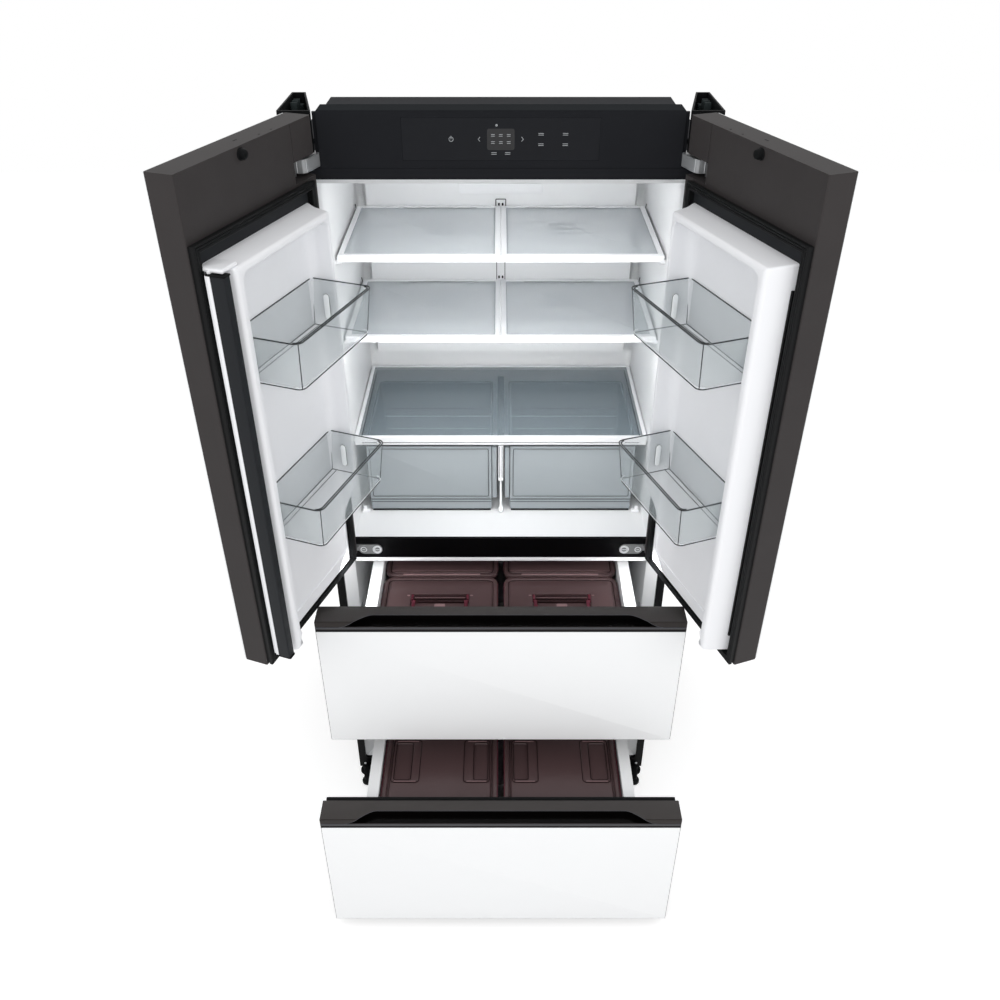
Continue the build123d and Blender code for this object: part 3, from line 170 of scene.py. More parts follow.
def skin(place, loops, ring=False):
    """Joins loop to loop with four-sided faces.

    The two end loops are closed by one face each, or in a ring the last loop meets the
    first."""
    loops = np.asarray(loops, float)
    rows, count = loops.shape[:2]
    index = np.arange(rows * count).reshape(rows, count)
    if ring:
        index = np.vstack((index, index[:1]))
    after = np.roll(index, -1, axis=1)
    quads = np.stack((index[:-1], after[:-1], after[1:], index[1:]), -1).reshape(-1, 4)
    faces = quads.tolist()
    if not ring:
        faces += [index[0][::-1].tolist(), index[-1].tolist()]
    return outward(placed(place, loops.reshape(-1, 3)), faces)


def outward(points, faces):
    """Turns every face round where the signed volume of the closed shape is negative."""
    volume = 0.0
    for size in {len(face) for face in faces}:
        group = np.array([face for face in faces if len(face) == size])
        for k in range(1, size - 1):
            a, b, c = points[group[:, 0]], points[group[:, k]], points[group[:, k + 1]]
            volume += np.einsum("ij,ij->", a, np.cross(b, c))
    return points, ([face[::-1] for face in faces] if volume < 0 else faces)


def joined(*shapes):
    """Several shapes as one."""
    points, faces, start = [], [], 0
    for shape_points, shape_faces in shapes:
        points.append(shape_points)
        faces += [[i + start for i in face] for face in shape_faces]
        start += len(shape_points)
    return np.concatenate(points), faces


def slab(place, rect, low, high, radius=3.0, edge=1.0, steps=4):
    """A rounded block: a rectangle with round corners and quarter-round edges."""
    turn = np.linspace(0, np.pi / 2, 4)
    rise = np.stack((edge * (1 - np.sin(turn)), low + edge * (1 - np.cos(turn))), -1)
    fall = np.stack((edge * (1 - np.cos(turn)), high - edge * (1 - np.sin(turn))), -1)
    loops = rounded_loops(rect, radius, np.vstack((rise, fall)), steps=steps)
    return skin(place, loops)


def slabs(place, *rows):
    """Several rounded blocks as one shape, each a row of what slab() takes."""
    return joined(*[slab(place, *row) for row in rows])


def frame_ring(place, rect, radii, section, steps=6):
    """A closed section of (inset, height) points carried round a rounded rectangle."""
    return skin(place, rounded_loops(rect, radii, section, steps=steps), ring=True)


def rod(place, path, radius, loop=False, sides=8):
    """A round wire: circles of the radius, square to the path's direction at each point."""
    path = np.asarray(path, float)
    if loop:
        along = np.roll(path, -1, 0) - np.roll(path, 1, 0)
    else:
        along = np.gradient(path, axis=0)
    along /= np.linalg.norm(along, axis=1)[:, None]
    reference = np.eye(3)[int(np.argmin(np.abs(along).max(0)))]
    first = np.cross(along, reference)
    first /= np.linalg.norm(first, axis=1)[:, None]
    second = np.cross(along, first)
    angle = np.linspace(0, 2 * np.pi, sides, endpoint=False)
    circles = (
        path[:, None]
        + radius * np.cos(angle)[None, :, None] * first[:, None]
        + radius * np.sin(angle)[None, :, None] * second[:, None]
    )
    return skin(place, circles, ring=loop)


def outline(place, rect, corner, height, radius, sides=6, steps=6):
    """A closed rod round a rounded rectangle at one height."""
    loop = rounded_loops(rect, corner, [(0, height)], steps=steps)[0]
    return rod(place, loop, radius, True, sides)


def wire(place, start, end, radius, count=8, sides=6):
    """A straight rod from point to point with evenly spaced rings."""
    return rod(place, np.linspace(start, end, count), radius, sides=sides)


def turned(place, centre, profile, sides=32):
    """A turned form: (radius, height) points carried round the third axis at the centre."""
    radius, height = np.array(profile, float).T
    angle = np.linspace(0, 2 * np.pi, sides, endpoint=False)
    x = centre[0] + radius[:, None] * np.cos(angle)
    y = centre[1] + radius[:, None] * np.sin(angle)
    z = np.broadcast_to(height[:, None], x.shape)
    return skin(place, np.stack((x, y, z), -1))


def carried(place, section, stations):
    """A closed flat section of (second, third) numbers carried along the first axis."""
    section = np.asarray(section, float)
    loops = [np.insert(section, 0, x, axis=1) for x in stations]
    return skin(place, loops)


# Finishes: procedural materials that read Object coordinates.


def linear(code):
    """Six hex digits of a screen colour as linear red, green and blue."""
    parts = [int(code[i : i + 2], 16) / 255 for i in (0, 2, 4)]
    return tuple(p / 12.92 if p <= 0.04045 else ((p + 0.055) / 1.055) ** 2.4 for p in parts)


def add_node(tree, kind, values, links=None, **settings):
    """Adds a shader node with its settings, the values of inputs and what feeds others."""
    node = tree.nodes.new(f"ShaderNode{kind}")
    for name, value in settings.items():
        setattr(node, name, value)
    for socket, value in values.items():
        node.inputs[socket].default_value = value
    for socket, output in (links or {}).items():
        tree.links.new(output, node.inputs[socket])
    return node


def surface(name, colour, rough, grain=1.0, depth=0.03, stretch=(1, 1, 1), mottle=0.05,
            patch=70.0, **sockets):
    """A finish with fine relief, uneven gloss and a faint drift of its colour.

    Grain and patch are the sizes of the relief and of the drift, depth is the relief's
    height, and stretch draws the grain out along an axis. Other names are sockets of
    the shader that stay the same all over."""
    material = bpy.data.materials.new(name)
    material.use_nodes = True
    tree = material.node_tree
    shader = tree.nodes["Principled BSDF"]
    for socket, value in sockets.items():
        shader.inputs[socket.replace("_", " ")].default_value = value
    where = add_node(tree, "TexCoord", {}).outputs["Object"]
    spread = add_node(tree, "Mapping", {"Scale": stretch}, {"Vector": where})
    fine = add_node(tree, "TexNoise", {"Scale": 1 / (grain * MM), "Detail": 3},
                    {"Vector": spread.outputs["Vector"]}).outputs["Fac"]
    drift = add_node(tree, "TexNoise", {"Scale": 1 / (patch * MM)}, {"Vector": where})
    ends = [(*[min(c * share, 1) for c in colour], 1) for share in (1 - mottle, 1 + mottle)]
    mix = add_node(tree, "Mix", dict(zip("AB", ends)), {"Factor": drift.outputs["Fac"]},
                   data_type="RGBA")
    limits = {"To Min": max(rough - GLOSS_SPREAD, 0.02), "To Max": min(rough + GLOSS_SPREAD, 1)}
    gloss = add_node(tree, "MapRange", limits, {"Value": fine})
    relief = add_node(tree, "Bump", {"Strength": 0.5, "Distance": depth * MM},
                      {"Height": fine})
    for socket, node, output in (("Base Color", mix, "Result"), ("Roughness", gloss, "Result"),
                                 ("Normal", relief, "Normal")):
        tree.links.new(node.outputs[output], shader.inputs[socket])
    return material


def shade(label, code):
    """A colour setting of the panel."""
    return FloatVectorProperty(
        name=label,
        description=f"Colour of the {label.lower()}",
        subtype="COLOR",
        size=3,
        min=0,
        max=1,
        default=linear(code),
    )


def length(label, text, value):
    """A size setting of the panel, in metres."""
    return FloatProperty(
        name=label, description=text, unit="LENGTH", min=0, default=value * MM, precision=4
    )


# Every finish: label and screen colour of its setting, or none and the finish whose
# colour it shares, then its material's name and the roughness, grain and depth of surface().
FINISHES = {
    "door_frame": ("Door frame", "393636", "brushed_door_frame", 0.55, 1.4, 0.02,
        dict(stretch=(1, 1, 0.03), mottle=0.08, Specular_IOR_Level=0.12)),
    "header": ("Header", "232427", "header_satin", 0.7, 1.2, 0.02, dict(Specular_IOR_Level=0.0)),
    "display": ("", "header", "display_glass", 0.45, 3.0, 0.002,
        dict(mottle=0.02, Specular_IOR_Level=0.03)),
    "window": ("Display window", "3b3b3c", "display_window", 0.45, 3.0, 0.002,
        dict(mottle=0.02, Specular_IOR_Level=0.03)),
    "black": ("Black plastic", "121314", "black_plastic", 0.55, 1.0, 0.05,
        dict(Specular_IOR_Level=0.07)),
    "frame_black": ("Front frame", "050506", "frame_paint", 0.35, 1.5, 0.01,
        dict(Specular_IOR_Level=0.08)),
    "rubber": ("Rubber seals", "0f1011", "soft_rubber", 0.6, 0.8, 0.04,
        dict(Specular_IOR_Level=0.15)),
    "door_base": ("Door base sheet", "202225", "door_base", 0.55, 1.0, 0.04,
        dict(Specular_IOR_Level=0.15)),
    "white": ("White liner", "eeeff0", "white_liner", 0.42, 1.6, 0.02, dict(mottle=0.015)),
    "door_white": ("Door moulding", "f3f4f7", "door_moulding", 0.4, 1.4, 0.02,
        dict(mottle=0.012)),
    "panel": ("Glass panels", "f6f7f8", "white_glass", 0.4, 4.0, 0.002,
        dict(mottle=0.006, Specular_IOR_Level=0.2)),
    "panel_edge": ("Panel edge", "505254", "panel_edge", 0.4, 1.0, 0.01, {}),
    "steel": ("Hinge steel", "a6a8ab", "hinge_steel", 0.36, 0.9, 0.02,
        dict(stretch=(1, 1, 0.1), mottle=0.08, Metallic=0.85)),
    "shelf": ("Shelf frame", "f1f2f4", "shelf_frame", 0.4, 1.2, 0.02, dict(mottle=0.015)),
    "pane": ("Shelf pane", "c5cbcf", "frosted_pane", 0.35, 1.2, 0.01,
        dict(mottle=0.02, Alpha=0.55)),
    "cover": ("Crisper cover", "8b99a1", "cover_glass", 0.12, 3.0, 0.002,
        dict(mottle=0.03, Alpha=0.42)),
    "crisper": ("Crisper", "abb2b6", "clear_crisper", 0.5, 4.0, 0.001,
        dict(mottle=0.02, Alpha=0.62, Specular_IOR_Level=0.12)),
    "basket": ("Door basket", "c6d0d3", "clear_basket", 0.12, 2.0, 0.004,
        dict(mottle=0.03, Alpha=0.17)),
    # Dark edge lines on clear parts: painted shade where a clear wall is seen edge on.
    "basket_line": ("Basket edge", "171c1f", "basket_edge", 0.2, 1.0, 0.004, {}),
    "trim": ("Drawer trim", "2f2b2a", "drawer_trim", 0.45, 1.0, 0.03,
        dict(Specular_IOR_Level=0.15)),
    # The deck is the trim's grey made lighter: painted light on its top face.
    "deck": ("Drawer deck", "3f3c3b", "drawer_deck", 0.4, 1.2, 0.02,
        dict(stretch=(0.05, 1, 1), Specular_IOR_Level=0.2)),
    # Lighter grey of painted highlights: the lit lip band, the grip's bright edge and the
    # header's lit lines.
    "lip": ("Trim lip", "46464a", "trim_lip", 0.35, 1.2, 0.01,
        dict(stretch=(0.05, 1, 1), Specular_IOR_Level=0.2)),
    # Near black lining of the grip: painted shade in the hollow.
    "scoop": ("Grip recess", "060505", "grip_gloss", 0.25, 2.0, 0.004,
        dict(Specular_IOR_Level=0.08)),
    # Bright metal of the screws and rings, also the painted highlights along the hinge straps'
    # edges.
    "bright": ("Bright screws", "d3d5d7", "bright_screw", 0.3, 0.8, 0.02, dict(Metallic=0.9)),
    "fold": ("Rim highlight", "8d7072", "rim_highlight", 0.35, 0.8, 0.01, {}),
    # Dark lines in the lids' grooves: painted shade.
    "lid_line": ("Lid groove", "1d1112", "lid_groove", 0.5, 0.8, 0.01,
        dict(Specular_IOR_Level=0.1)),
    # Also the dark bar between the crispers, painted shade in their gap.
    "channel": ("Cover channel", "2e3536", "cover_channel", 0.55, 1.0, 0.03,
        dict(Specular_IOR_Level=0.15)),
    # The header's top in its own lighter, duller grey: painted light for the top face.
    "header_top": ("Header top", "2d2f31", "header_top", 0.85, 1.2, 0.02,
        dict(Specular_IOR_Level=0.0)),
    "plate": ("Hinge plate", "6c6d6e", "hinge_plate", 0.4, 0.9, 0.02,
        dict(mottle=0.1, Metallic=0.4)),
    "strap": ("Hinge strap", "9fa1a3", "hinge_strap", 0.35, 0.9, 0.02,
        dict(stretch=(1, 1, 0.1), mottle=0.1, Metallic=0.35)),
    "glint": ("Clear rim glint", "f4f7f8", "clear_rim_glint", 0.2, 1.0, 0.004, {}),
    # Dark floors of the lids' grip pockets: painted shade in the deep hollows.
    "pocket": ("Grip pocket", "2b1618", "grip_pocket", 0.3, 0.8, 0.02, {}),
    "tray": ("Drawer tray", "ecedee", "tray_white", 0.42, 1.3, 0.02, dict(mottle=0.015)),
    "burgundy": ("Storage box", "4c2c31", "box_burgundy", 0.3, 0.8, 0.02,
        dict(mottle=0.06, Specular_IOR_Level=0.4)),
    "lid": ("Box lid", "4f3d3e", "lid_burgundy", 0.3, 0.8, 0.02,
        dict(mottle=0.06, Specular_IOR_Level=0.4)),
    "wine": ("Handle post", "5a2531", "handle_wine", 0.25, 1.0, 0.01, {}),
    "handle": ("Handle bar", "2a1719", "handle_dark", 0.3, 1.0, 0.01,
        dict(Specular_IOR_Level=0.3)),
    "cabinet": ("Cabinet sheet", "2b2c2f", "cabinet_paint", 0.7, 0.7, 0.03,
        dict(Specular_IOR_Level=0.05)),
    "galvanised": ("Rear sheet", "8b8e91", "rear_sheet", 0.45, 6.0, 0.02,
        dict(mottle=0.12, patch=18.0, Metallic=0.8)),
    "foam": ("Foam", "e6dcb8", "foam", 0.9, 2.5, 0.4, dict(mottle=0.08, patch=12.0)),
    "aluminium": ("Cooling coil", "a9acaf", "coil_aluminium", 0.35, 1.0, 0.03,
        dict(mottle=0.08, Metallic=0.9)),
    "marks": ("Display marks", "b9bdc0", "display_marks", 0.4, 1.0, 0.001, dict(mottle=0.02)),
}


class RefrigeratorColours(bpy.types.PropertyGroup):
    """Colours of the finishes."""

    __annotations__ = {key: shade(*row[:2]) for key, row in FINISHES.items() if row[0]}


class RefrigeratorSizes(bpy.types.PropertyGroup):
    """Sizes that only show."""

    dyke_round: length("Dyke rounding", "Rounding of the raised rim of the door liner", 7)
    pocket_round: length("Pocket rounding", "Soft fillet at the floor of the pocket", 22)
    # The dark edge on clear parts is painted shade; this is the radius of its lines.
    rim_line: length("Rim line", "Radius of the dark edge on clear parts", 1.3)
    scoop_depth: length("Scoop depth", "How far the grip dips below the trim", 15)
    lamp_strength: FloatProperty(
        name="Soft light", description="Strength of the even light", min=0, default=0.86
    )


FINISH = {}


def make_finishes(colours):
    """Fills FINISH with every material, named for the surface it is for."""
    for key, (label, code, name, *numbers, more) in FINISHES.items():
        colour = getattr(colours, key if label else code)
        FINISH[key] = surface(name, colour, *numbers, **more)


# The CAD nodes that stay, by their finish.
NODE_FINISH = {
    "cabinet": "cabinet_shell",
    "galvanised": "back_panel base_plate",
    "foam": "insulation",
    "white": "fridge_liner drawer_liners rear_duct_cover",
    "frame_black": "front_frame compressor",
    "header": "header_fascia",
    "display": "display_glass",
    "black": "corner_covers fan levelling_feet",
    "shelf": "crisper_cover_frame",
    "cover": "crisper_cover_glass",
    "steel": "upper_hinge_arms hinge_pins drawer_rails upper_middle_rails lower_middle_rails",
    "plate": "lower_hinge_plates",
    "aluminium": "evaporator",
    "tray": "upper_drawer_tray lower_drawer_tray",
    "burgundy": "rear_containers left_upper_container right_upper_container "
                "left_lower_container right_lower_container",
    "door_frame": "left_door_shell right_door_shell",
    "panel": "left_door_panel right_door_panel",
}


def make_piece(name, shape, finish, body, slot, nodes=(), sharp=32.0):
    """Puts a shape into the scene as one piece that rides on a body."""
    points, faces = shape
    mesh = bpy.data.meshes.new(name)
    mesh.from_pydata(points.tolist(), [], faces)
    build = bmesh.new()
    build.from_mesh(mesh)
    bmesh.ops.remove_doubles(build, verts=build.verts, dist=MERGE)
    build.to_mesh(mesh)
    build.free()
    mesh.shade_smooth()
    mesh.set_sharp_from_angle(angle=radians(sharp))
    mesh.materials.append(FINISH[finish])
    piece = bpy.data.objects.new(name, mesh)
    bpy.context.scene.collection.objects.link(piece)
    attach(piece, body)
    if nodes:
        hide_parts(*nodes)
    return piece


def make_pieces(prefix, body, rows):
    """Makes a piece of each row: name, shape, finish, slot, replaced nodes, sharp angle."""
    for name, *row in rows:
        make_piece(prefix + name, row[0], row[1], body, *row[2:])


class StepOperator(bpy.types.Operator):
    """One step of the build."""

    bl_idname = "refrigerator.step"
    bl_label = "Step"
    bl_options = {"REGISTER", "UNDO"}


class REFRIGERATOR_OT_stage(StepOperator):
    """Floor, camera, lamps and the white surroundings."""

    bl_idname = "refrigerator.stage"
    bl_label = "Stage"

    def execute(self, context):
        scene = context.scene
        scene.view_settings.view_transform = "Standard"
        self.make_camera(scene)
        self.make_world(scene, scene.refrigerator_sizes.lamp_strength)
        self.make_floor(scene)
        self.make_lamp(scene, "key", (-1.6, -3.2, 3.2), (0, 0, 0.9), (2.4, 2.4), 21.0)
        self.make_lamp(scene, "fill", (1.8, -3.2, 2.8), (0, 0, 0.9), (2.2, 2.2), 18.5)
        self.make_lamp(scene, "front", (0, -3.6, 1.4), (0, 0, 1.3), (1.6, 1.2), 4.0)
        for name, height, drop, power in (("shelf_light", 1.7, 0.2, 0.6),
                                          ("middle_light", 1.52, 0.12, 0.5),
                                          ("cover_light", 1.33, 0.2, 1.15),
                                          ("crisper_light", 1.03, 0.1, 0.13)):
            self.make_lamp(scene, name, (0, -0.24, height), (0, 0.1, height - drop),
                           (0.6, 0.03), power)
        self.make_lamp(scene, "drawer_light", (0, -0.45, 1.02), (0, -0.2, 0.75), (0.6, 0.1), 0.35)
        for side, x in (("left", -0.346), ("right", 0.346)):
            self.make_lamp(scene, f"{side}_runner_light", (x, -0.44, 0.86), (x, -0.1, 0.5),
                           (0.03, 0.1), 0.3)
        return {"FINISHED"}

    def make_camera(self, scene):
        """Camera of the photograph: two metres in front, 34.7 degrees down."""
        camera = bpy.data.cameras.new("camera")
        camera.lens, camera.sensor_width = 33.85, 36.0
        camera.shift_x = -0.0008
        holder = bpy.data.objects.new("camera", camera)
        holder.location = (0.0, -2.1355, 2.2636)
        holder.rotation_euler = (radians(90 - CAMERA_PITCH), 0.0, 0.0)
        scene.collection.objects.link(holder)
        scene.camera = holder

    def seen_factor(self, tree):
        """Adds up the light path's camera, glossy and transmission rays, at most 1."""
        path = add_node(tree, "LightPath", {})
        total = path.outputs["Is Camera Ray"]
        for ray in ("Is Glossy Ray", "Is Transmission Ray"):
            total = add_node(tree, "Math", {}, {0: total, 1: path.outputs[ray]},
                             operation="ADD", use_clamp=True).outputs[0]
        return total

    def make_world(self, scene, strength):
        """White for what is seen, and a plain even light for what it lights."""
        world = bpy.data.worlds.new("surroundings")
        world.use_nodes = True
        tree = world.node_tree
        light = tree.nodes["Background"]
        light.inputs["Color"].default_value = (1, 1, 1, 1)
        light.inputs["Strength"].default_value = strength
        seen = add_node(tree, "Background", {"Color": (1, 1, 1, 1)})
        mix = add_node(tree, "MixShader", {}, {"Fac": self.seen_factor(tree),
                                               1: light.outputs[0], 2: seen.outputs[0]})
        tree.links.new(mix.outputs[0], tree.nodes["World Output"].inputs["Surface"])
        scene.world = world

    def make_floor(self, scene):
        """Pale floor that keeps the shadow and is lifted to white where it is seen."""
        mesh = bpy.data.meshes.new("floor")
        half = FLOOR_HALF
        mesh.from_pydata([(-half, -half, 0), (half, -half, 0), (half, half, 0),
                          (-half, half, 0)], [], [(0, 1, 2, 3)])
        material = bpy.data.materials.new("floor")
        material.use_nodes = True
        tree = material.node_tree
        shader = tree.nodes["Principled BSDF"]
        for socket, value in (("Base Color", (0.8, 0.8, 0.8, 1)), ("Roughness", 0.9),
                              ("Specular IOR Level", 0.0)):
            shader.inputs[socket].default_value = value
        share = add_node(tree, "Math", {1: FLOOR_LIFT}, {0: self.seen_factor(tree)},
                         operation="MULTIPLY")
        lift = add_node(tree, "Emission", {"Color": (1, 1, 1, 1)},
                        {"Strength": share.outputs[0]})
        total = add_node(tree, "AddShader", {}, {0: shader.outputs[0], 1: lift.outputs[0]})
        tree.links.new(total.outputs[0], tree.nodes["Material Output"].inputs["Surface"])
        mesh.materials.append(material)
        floor = bpy.data.objects.new("floor", mesh)
        scene.collection.objects.link(floor)

    def make_lamp(self, scene, name, place, target, size, power):
        """Soft rectangular lamp that points from its place to the target, itself unseen."""
        lamp = bpy.data.lights.new(name, "AREA")
        lamp.shape = "RECTANGLE"
        lamp.size, lamp.size_y = size
        lamp.energy = power
        holder = bpy.data.objects.new(name, lamp)
        holder.location = place
        holder.visible_camera = False
        holder.visible_glossy = False
        direction = np.array(target, float) - np.array(place, float)
        flat = float(np.hypot(direction[0], direction[1]))
        tilt = float(np.arctan2(flat, -direction[2]))
        turn = float(np.arctan2(direction[0], direction[1]))
        holder.rotation_euler = (tilt, 0.0, -turn)
        scene.collection.objects.link(holder)


class REFRIGERATOR_OT_finishes(StepOperator):
    """Finishes of the CAD nodes that keep their shape."""

    bl_idname = "refrigerator.finishes"
    bl_label = "Finishes"

    def execute(self, context):
        make_finishes(context.scene.refrigerator_colours)
        for finish, nodes in NODE_FINISH.items():
            for node in nodes.split():
                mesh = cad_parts[node].data
                mesh.materials.clear()
                mesh.materials.append(FINISH[finish])
        return {"FINISHED"}


def left_and_right(name, build, finish, body, slot, nodes=(), **options):
    """Makes a piece for the left and its mirror image for the right."""
    for side in SIDES:
        own = [node.format(side=side) for node in nodes]
        make_piece(f"{side}_{name}", build(side), finish, body.format(side=side), slot, own,
                   **options)


class REFRIGERATOR_OT_doors(StepOperator):
    """Marks on the door frames, and the gaskets round the inner side."""

    bl_idname = "refrigerator.doors"
    bl_label = "Doors"

    def execute(self, context):
        left_and_right("door_screws", self.screws, "black", "{side}_door", "black_plastic")
        left_and_right("door_bumper", self.bumper, "black", "{side}_door", "black_plastic")
        left_and_right("gasket", self.gasket, "rubber", "{side}_door", "gasket_black",
                       ("{side}_door_gasket",), sharp=24)
        return {"FINISHED"}

    def screws(self, side):
        """Flat turned heads on the door's top: radius against height."""
        place = on_side(DOOR_PLAN, side)
        spots = ((208, -26), (202, -26), (156, -10), (119, -9))
        head = np.array(((2.2, DOOR_TOP - 1.5), (2.2, DOOR_TOP + 0.1), (1.6, DOOR_TOP + 0.35)))
        return joined(*[turned(place, spot, head, 12) for spot in spots])

    def bumper(self, side):
        """Turned rubber stop with a soft nose and a flange at its foot."""
        place = on_side(DOOR_FACE, side)
        form = ((10.5, -1), (10.5, 1.2), (8.8, 2.2), (8.4, 8), (7, 10.4), (3.6, 11.4))
        return turned(place, (232, 1850), form)

    def gasket(self, side):
        """Magnetic seal: a section with two grooves carried round the inner side."""
        place = on_side(DOOR_FACE, side)
        section = (
            (2, 0), (14, 0), (14, 3.6), (12.6, 4.6), (12.6, 5.4), (14, 6.4), (14, 12.2),
            (13, 13.2), (9.6, 13.2), (8.9, 11.8), (8.2, 13.2), (5.2, 13.2), (4.5, 11.6),
            (3.8, 13.0), (1.2, 13.0), (0, 11.8), (0, 6), (1.6, 5), (2, 4),
        )
        return frame_ring(place, (28, 411.5, 854, 1754), 1.5, section, steps=2)


class REFRIGERATOR_OT_door_liners(StepOperator):
    """Dark base sheets and the white raised mouldings with their pocket."""

    bl_idname = "refrigerator.door_liners"
    bl_label = "Door liners"

    HEIGHT = 52

    def execute(self, context):
        sizes = context.scene.refrigerator_sizes
        self.ridge_round = sizes.dyke_round / MM
        self.floor_round = sizes.pocket_round / MM
        left_and_right("door_base", self.base, "door_base", "{side}_door", "gasket_black")
        left_and_right("door_moulding", self.moulding, "door_white", "{side}_door",
                       "liner_white", ("{side}_door_liner",), sharp=60)
        make_piece("seal_brackets", self.brackets(), "door_white", "left_door", "liner_white")
        make_piece("right_seal_strip", self.strip(), "rubber", "right_door", "gasket_black")
        return {"FINISHED"}

    def base(self, side):
        """Flat sheet with a rounded edge between the gasket and the moulding."""
        return slab(on_side(DOOR_FACE, side), (44, 395.5, 870, 1738), -0.5, 3, 4, 1)

    def moulding(self, side):
        """Raised dyke: drafted walls, a quarter-round ridge, then the pocket's walls.

        The outer loops lean in with the height; the inner ones fall to a floor whose
        fillet is a quarter circle, w = R - R sin t, inset = R - R cos t. Below the lower
        basket a smoothstep of the height above the floor flattens all but the free side."""
        place = lifted(on_side(DOOR_FACE, side), 3)
        turn = np.linspace(0, np.pi / 2, 8)
        r, top = self.ridge_round, self.HEIGHT
        wall = [(0, 0), (0, 2), (0, 20), (0, top - r)]
        crest = np.stack((r * (1 - np.cos(turn)), top - r + r * np.sin(turn)), -1)[1:]
        slopes = [lean / top for lean in (4, 16, 2, 8)]
        outer = rounded_loops((54, 386, 871, 1717), 4, np.vstack((wall, crest)), slopes, 10)
        q, floor = 4.0, 5.0
        lip = np.stack((-q + q * np.sin(turn), top - q + q * np.cos(turn)), -1)
        big = self.floor_round
        hollow = np.stack((big * (1 - np.cos(turn)), floor + big * (1 - np.sin(turn))), -1)
        inner = rounded_loops((68, 352, 904, 1695), 16, np.vstack((lip, hollow)), steps=10)
        loops = filled(np.concatenate((outer, inner)), 28)
        across, up, height = (loops[..., k].copy() for k in range(3))
        loops[..., 0] -= 8 * (1 - smooth(1, 9, height)) * (1 - smooth(60, 90, across))
        low = (1 - smooth(985, 1130, up)) * (1 - smooth(322, 352, across))
        flat = floor + (height - floor) * (1 - 0.95 * low)
        loops[..., 2] = np.where(height > floor, flat, height)
        return skin(place, loops)

    def brackets(self):
        """Blocks of the moulding that carry the pivots of the centre seal."""
        return slabs(DOOR_PLAN, ((370, 400, 17, 29), 874.1, 880.1, 3, 0.8),
                     ((356, 399.5, 4, 50), 1709.4, 1717.4, 3, 3.6))

    def strip(self):
        """Soft strip along the free side of the right moulding."""
        return slab(mirrored(DOOR_FACE), (384, 389, 915, 1672), 3, 9, 1.2, 0.8)


class REFRIGERATOR_OT_centre_seal(StepOperator):
    """Folding seal: dark face, pale heel and end caps."""

    bl_idname = "refrigerator.centre_seal"
    bl_label = "Centre seal"

    TOP = 1706.8

    def execute(self, context):
        body = "centre_seal"
        make_piece("seal_face", self.face(), "door_base", body, "black_plastic",
                   ("mullion_flap",))
        make_piece("seal_heel", self.heel(), "door_white", body, "liner_white")
        make_piece("seal_caps", self.caps(), "black", body, "black_plastic")
        make_piece("seal_pins", self.pins(), "door_white", body, "liner_white")
        return {"FINISHED"}

    def face(self):
        """Long rounded bar with a shallow step along its outer edge."""
        return slab(DOOR_PLAN, (387.4, 407, 28.2, 54.8), 882.6, self.TOP - 0.2, 3, 1.2)

    def heel(self):
        """Pale bar on the hinge side of the face and the narrow tongue by the pivot."""
        return slabs(DOOR_PLAN,
                     ((388.6, 405.8, 21.2, 28.4), 882.5, self.TOP - 0.1, 1.5, 0.8),
                     ((394, 404, 16.6, 22), 884, self.TOP - 1.6, 1.5, 0.8))

    def caps(self):
        """Thin caps at both ends, a little larger than the bar."""
        return slabs(DOOR_PLAN, *[((387.2, 407.2, 20, 57), low, low + 2.1, 3, 0.6)
                                  for low in (880.5, self.TOP - 0.3)])

    def pins(self):
        """Turned pivot pins at both ends, with a small chamfer."""
        parts = []
        for low, high in ((874.3, 882), (self.TOP + 0.6, 1714)):
            form = ((3.2, low), (4, low + 0.8), (4, high - 0.8), (3.2, high))
            parts.append(turned(DOOR_PLAN, (398, 23), form, 20))
        return joined(*parts)


